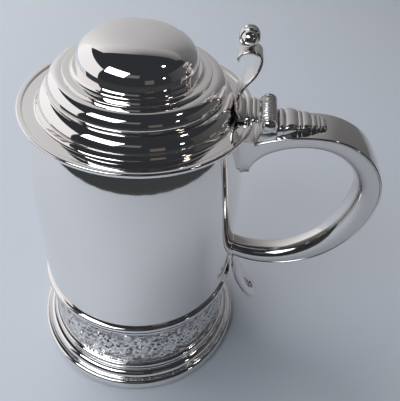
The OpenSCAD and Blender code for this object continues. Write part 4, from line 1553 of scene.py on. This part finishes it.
@dataclass
class Stage:
    """Pale floor, soft light and the camera.

    Attributes:
        floor_colour: colour of the floor.
        floor_rough: its roughness.
        room_power: brightness of the room all round.
        lens: the camera's focal length, in millimetres.
        eye: where the camera stands, in metres.
        ahead: the direction it looks in.
        up: its upward direction.
        cards: what the metal reflects.
        bench_edge: where the pale floor seems to end, in metres from the middle.
        near_shade_power: brightness of the painted shade just past that edge.
        far_edge: where the floor and the painted shade past the bench end, in metres.
        far_shade_power: brightness of the painted shade at that end.
        fill_place: where the soft light hangs, in metres.
        fill_size: the soft light's side, in metres.
        fill_power: its power, in watts.
    """

    floor_colour: tuple[float, float, float] = (0.50, 0.53, 0.59)
    floor_rough: float = 0.55
    room_power: float = 0.035
    lens: float = 42.93
    eye: tuple[float, float, float] = (0.04148, -0.20951, 0.31749)
    ahead: tuple[float, float, float] = (-0.01536, 0.71938, -0.69445)
    up: tuple[float, float, float] = (-0.12490, 0.68772, 0.71516)
    cards: tuple[Card, ...] = (
        Card("backdrop_left", ((-0.1, 1.2, 0.0), (-1.5, 1.2, 0.0), (-1.5, 1.2, 1.5), (-0.1, 1.2, 1.5)),
             PALE, (0.45, 1.0, 0.95, 0.4)),
        Card("backdrop_right", ((0.7, 1.2, 0.0), (-0.1, 1.2, 0.0), (-0.1, 1.2, 1.5), (0.7, 1.2, 1.5)),
             PALE, (0.17, 0.45, 0.4, 0.17)),
        Card("backdrop_far", ((1.6, 1.0, 0.0), (0.7, 1.2, 0.0), (0.7, 1.2, 1.5), (1.6, 1.0, 1.5)),
             PALE, (0.1, 0.17, 0.17, 0.1)),
        Card("backdrop_top", ((-0.1, 1.2, 1.5), (-1.5, 1.2, 1.5), (-1.5, 1.1, 2.3), (-0.1, 1.1, 2.3)),
             PALE, (0.4, 0.95, 0.6, 0.1)),
        Card("backdrop_corner", ((1.6, 1.2, 1.5), (-0.1, 1.2, 1.5), (-0.1, 1.1, 2.3), (1.6, 1.1, 2.3)),
             PALE, (0.17, 0.4, 0.1, 0.1)),
        Card("left_wall", ((-1.3, 1.2, 0.0), (-1.3, -0.7, 0.0), (-1.3, -0.7, 1.2), (-1.3, 1.2, 1.2)),
             PALE, (1.0, 0.85, 0.85, 1.0)),
        Card("right_wall", ((1.6, -0.6, 0.0), (1.6, 1.0, 0.0), (1.6, 1.0, 1.2), (1.6, -0.6, 1.2)),
             PALE, (0.05, 0.1, 0.1, 0.05)),
        facing("window", -127.0, 44.0, 1.5, (0.95, 0.62), DAYLIGHT, 5.0),
        facing("far_window", -92.0, 40.0, 2.2, (0.9, 0.5), DAYLIGHT, 0.16),
        facing("doorway", -60.0, 12.0, 2.2, (0.6, 0.7), WARM, 0.12),
        facing("lamp", 4.0, 60.0, 1.5, (0.1, 0.1), WARM, 14.0),
        facing("low_lamp", -32.0, 20.0, 1.6, (0.1, 0.1), DAYLIGHT, 10.0),
    )
    # the pale floor's real edge, and the painted shade past it that the metal reflects
    bench_edge: float = 0.43
    near_shade_power: float = 0.05
    far_edge: float = 4.0
    far_shade_power: float = 0.02
    fill_place: tuple[float, float, float] = (-0.9, 0.45, 1.4)
    fill_size: float = 1.5
    fill_power: float = 26.0

    def dark_ring(self) -> list[Card]:
        """Dim cards on the floor, on the viewer's side, from the pale floor's real edge bench_edge metres
        out: painted shade of the unlit room past that edge, which only the metal's reflections show.
        """
        steps = np.radians(np.linspace(180, 360, 13))
        near, far = self.bench_edge, self.far_edge
        cards = []
        for k, (a, b) in enumerate(zip(steps, steps[1:])):
            corners = tuple(
                (float(r * math.cos(t)), float(r * math.sin(t)), 0.003)
                for r, t in ((near, a), (near, b), (far, b), (far, a))
            )
            powers = (self.near_shade_power,) * 2 + (self.far_shade_power,) * 2
            # painted shade: dim sheets on the floor that only the metal reflects; they neither light nor
            # shade the floor
            cards.append(Card(f"painted_shade_floor_{k}", corners, DAYLIGHT, powers, False))
        return cards

    def fill(self) -> bpy.types.Object:
        """The soft light that shades the floor off to the right; the metal doesn't mirror it."""
        data = bpy.data.lights.new("fill", "AREA")
        data.size, data.energy = self.fill_size, self.fill_power
        obj = bpy.data.objects.new("fill", data)
        bpy.context.scene.collection.objects.link(obj)
        at = Vector(self.fill_place)
        obj.matrix_world = Matrix.Translation(at) @ at.to_track_quat("Z", "Y").to_matrix().to_4x4()
        obj.visible_glossy = False
        return obj

    def floor(self) -> bpy.types.Object:
        """A large flat pale floor at z = 0."""
        mesh = bpy.data.meshes.new("floor")
        s = self.far_edge
        mesh.from_pydata([(-s, -s, 0), (s, -s, 0), (s, s, 0), (-s, s, 0)], [], [(0, 1, 2, 3)])
        obj = bpy.data.objects.new("floor", mesh)
        bpy.context.scene.collection.objects.link(obj)
        mat = bpy.data.materials.new("pale_floor")
        mat.use_nodes = True
        shader = mat.node_tree.nodes["Principled BSDF"]
        shader.inputs["Base Color"].default_value = (*self.floor_colour, 1)
        shader.inputs["Roughness"].default_value = self.floor_rough
        mesh.materials.append(mat)
        return obj

    def camera(self) -> bpy.types.Object:
        """The camera: a little to the left of the handle's plane and well above the lid."""
        data = bpy.data.cameras.new("camera")
        data.lens, data.sensor_width = self.lens, 36.0
        data.clip_start, data.clip_end = 0.01, 50.0
        obj = bpy.data.objects.new("camera", data)
        bpy.context.scene.collection.objects.link(obj)
        ahead = Vector(self.ahead).normalized()
        up = Vector(self.up)
        right = ahead.cross(up).normalized()
        up = right.cross(ahead)
        turn = Matrix((right, up, -ahead)).transposed().to_4x4()
        obj.matrix_world = Matrix.Translation(Vector(self.eye)) @ turn
        bpy.context.scene.camera = obj
        return obj

    def world(self) -> None:
        """A dim room all round."""
        world = bpy.data.worlds.new("studio")
        world.use_nodes = True
        back = world.node_tree.nodes["Background"]
        back.inputs["Color"].default_value = (0.8, 0.86, 1.0, 1)
        back.inputs["Strength"].default_value = self.room_power
        bpy.context.scene.world = world
        bpy.context.scene.view_settings.view_transform = "Standard"

    def build(self) -> None:
        """Sets the stage."""
        self.floor()
        for card in (*self.cards, *self.dark_ring()):
            card.build()
        self.fill()
        self.world()
        self.camera()


def main() -> None:
    logging.basicConfig(level=logging.INFO, format="%(name)s: %(message)s")
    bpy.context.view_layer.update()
    shop = Workshop(FinishLibrary())
    for maker in (Vessel(), ChasedBand(), Handle(), Hinge(), Lid(), Thumbpiece()):
        maker.build(shop)
    Stage().build()


if __name__ == "__main__":
    main()
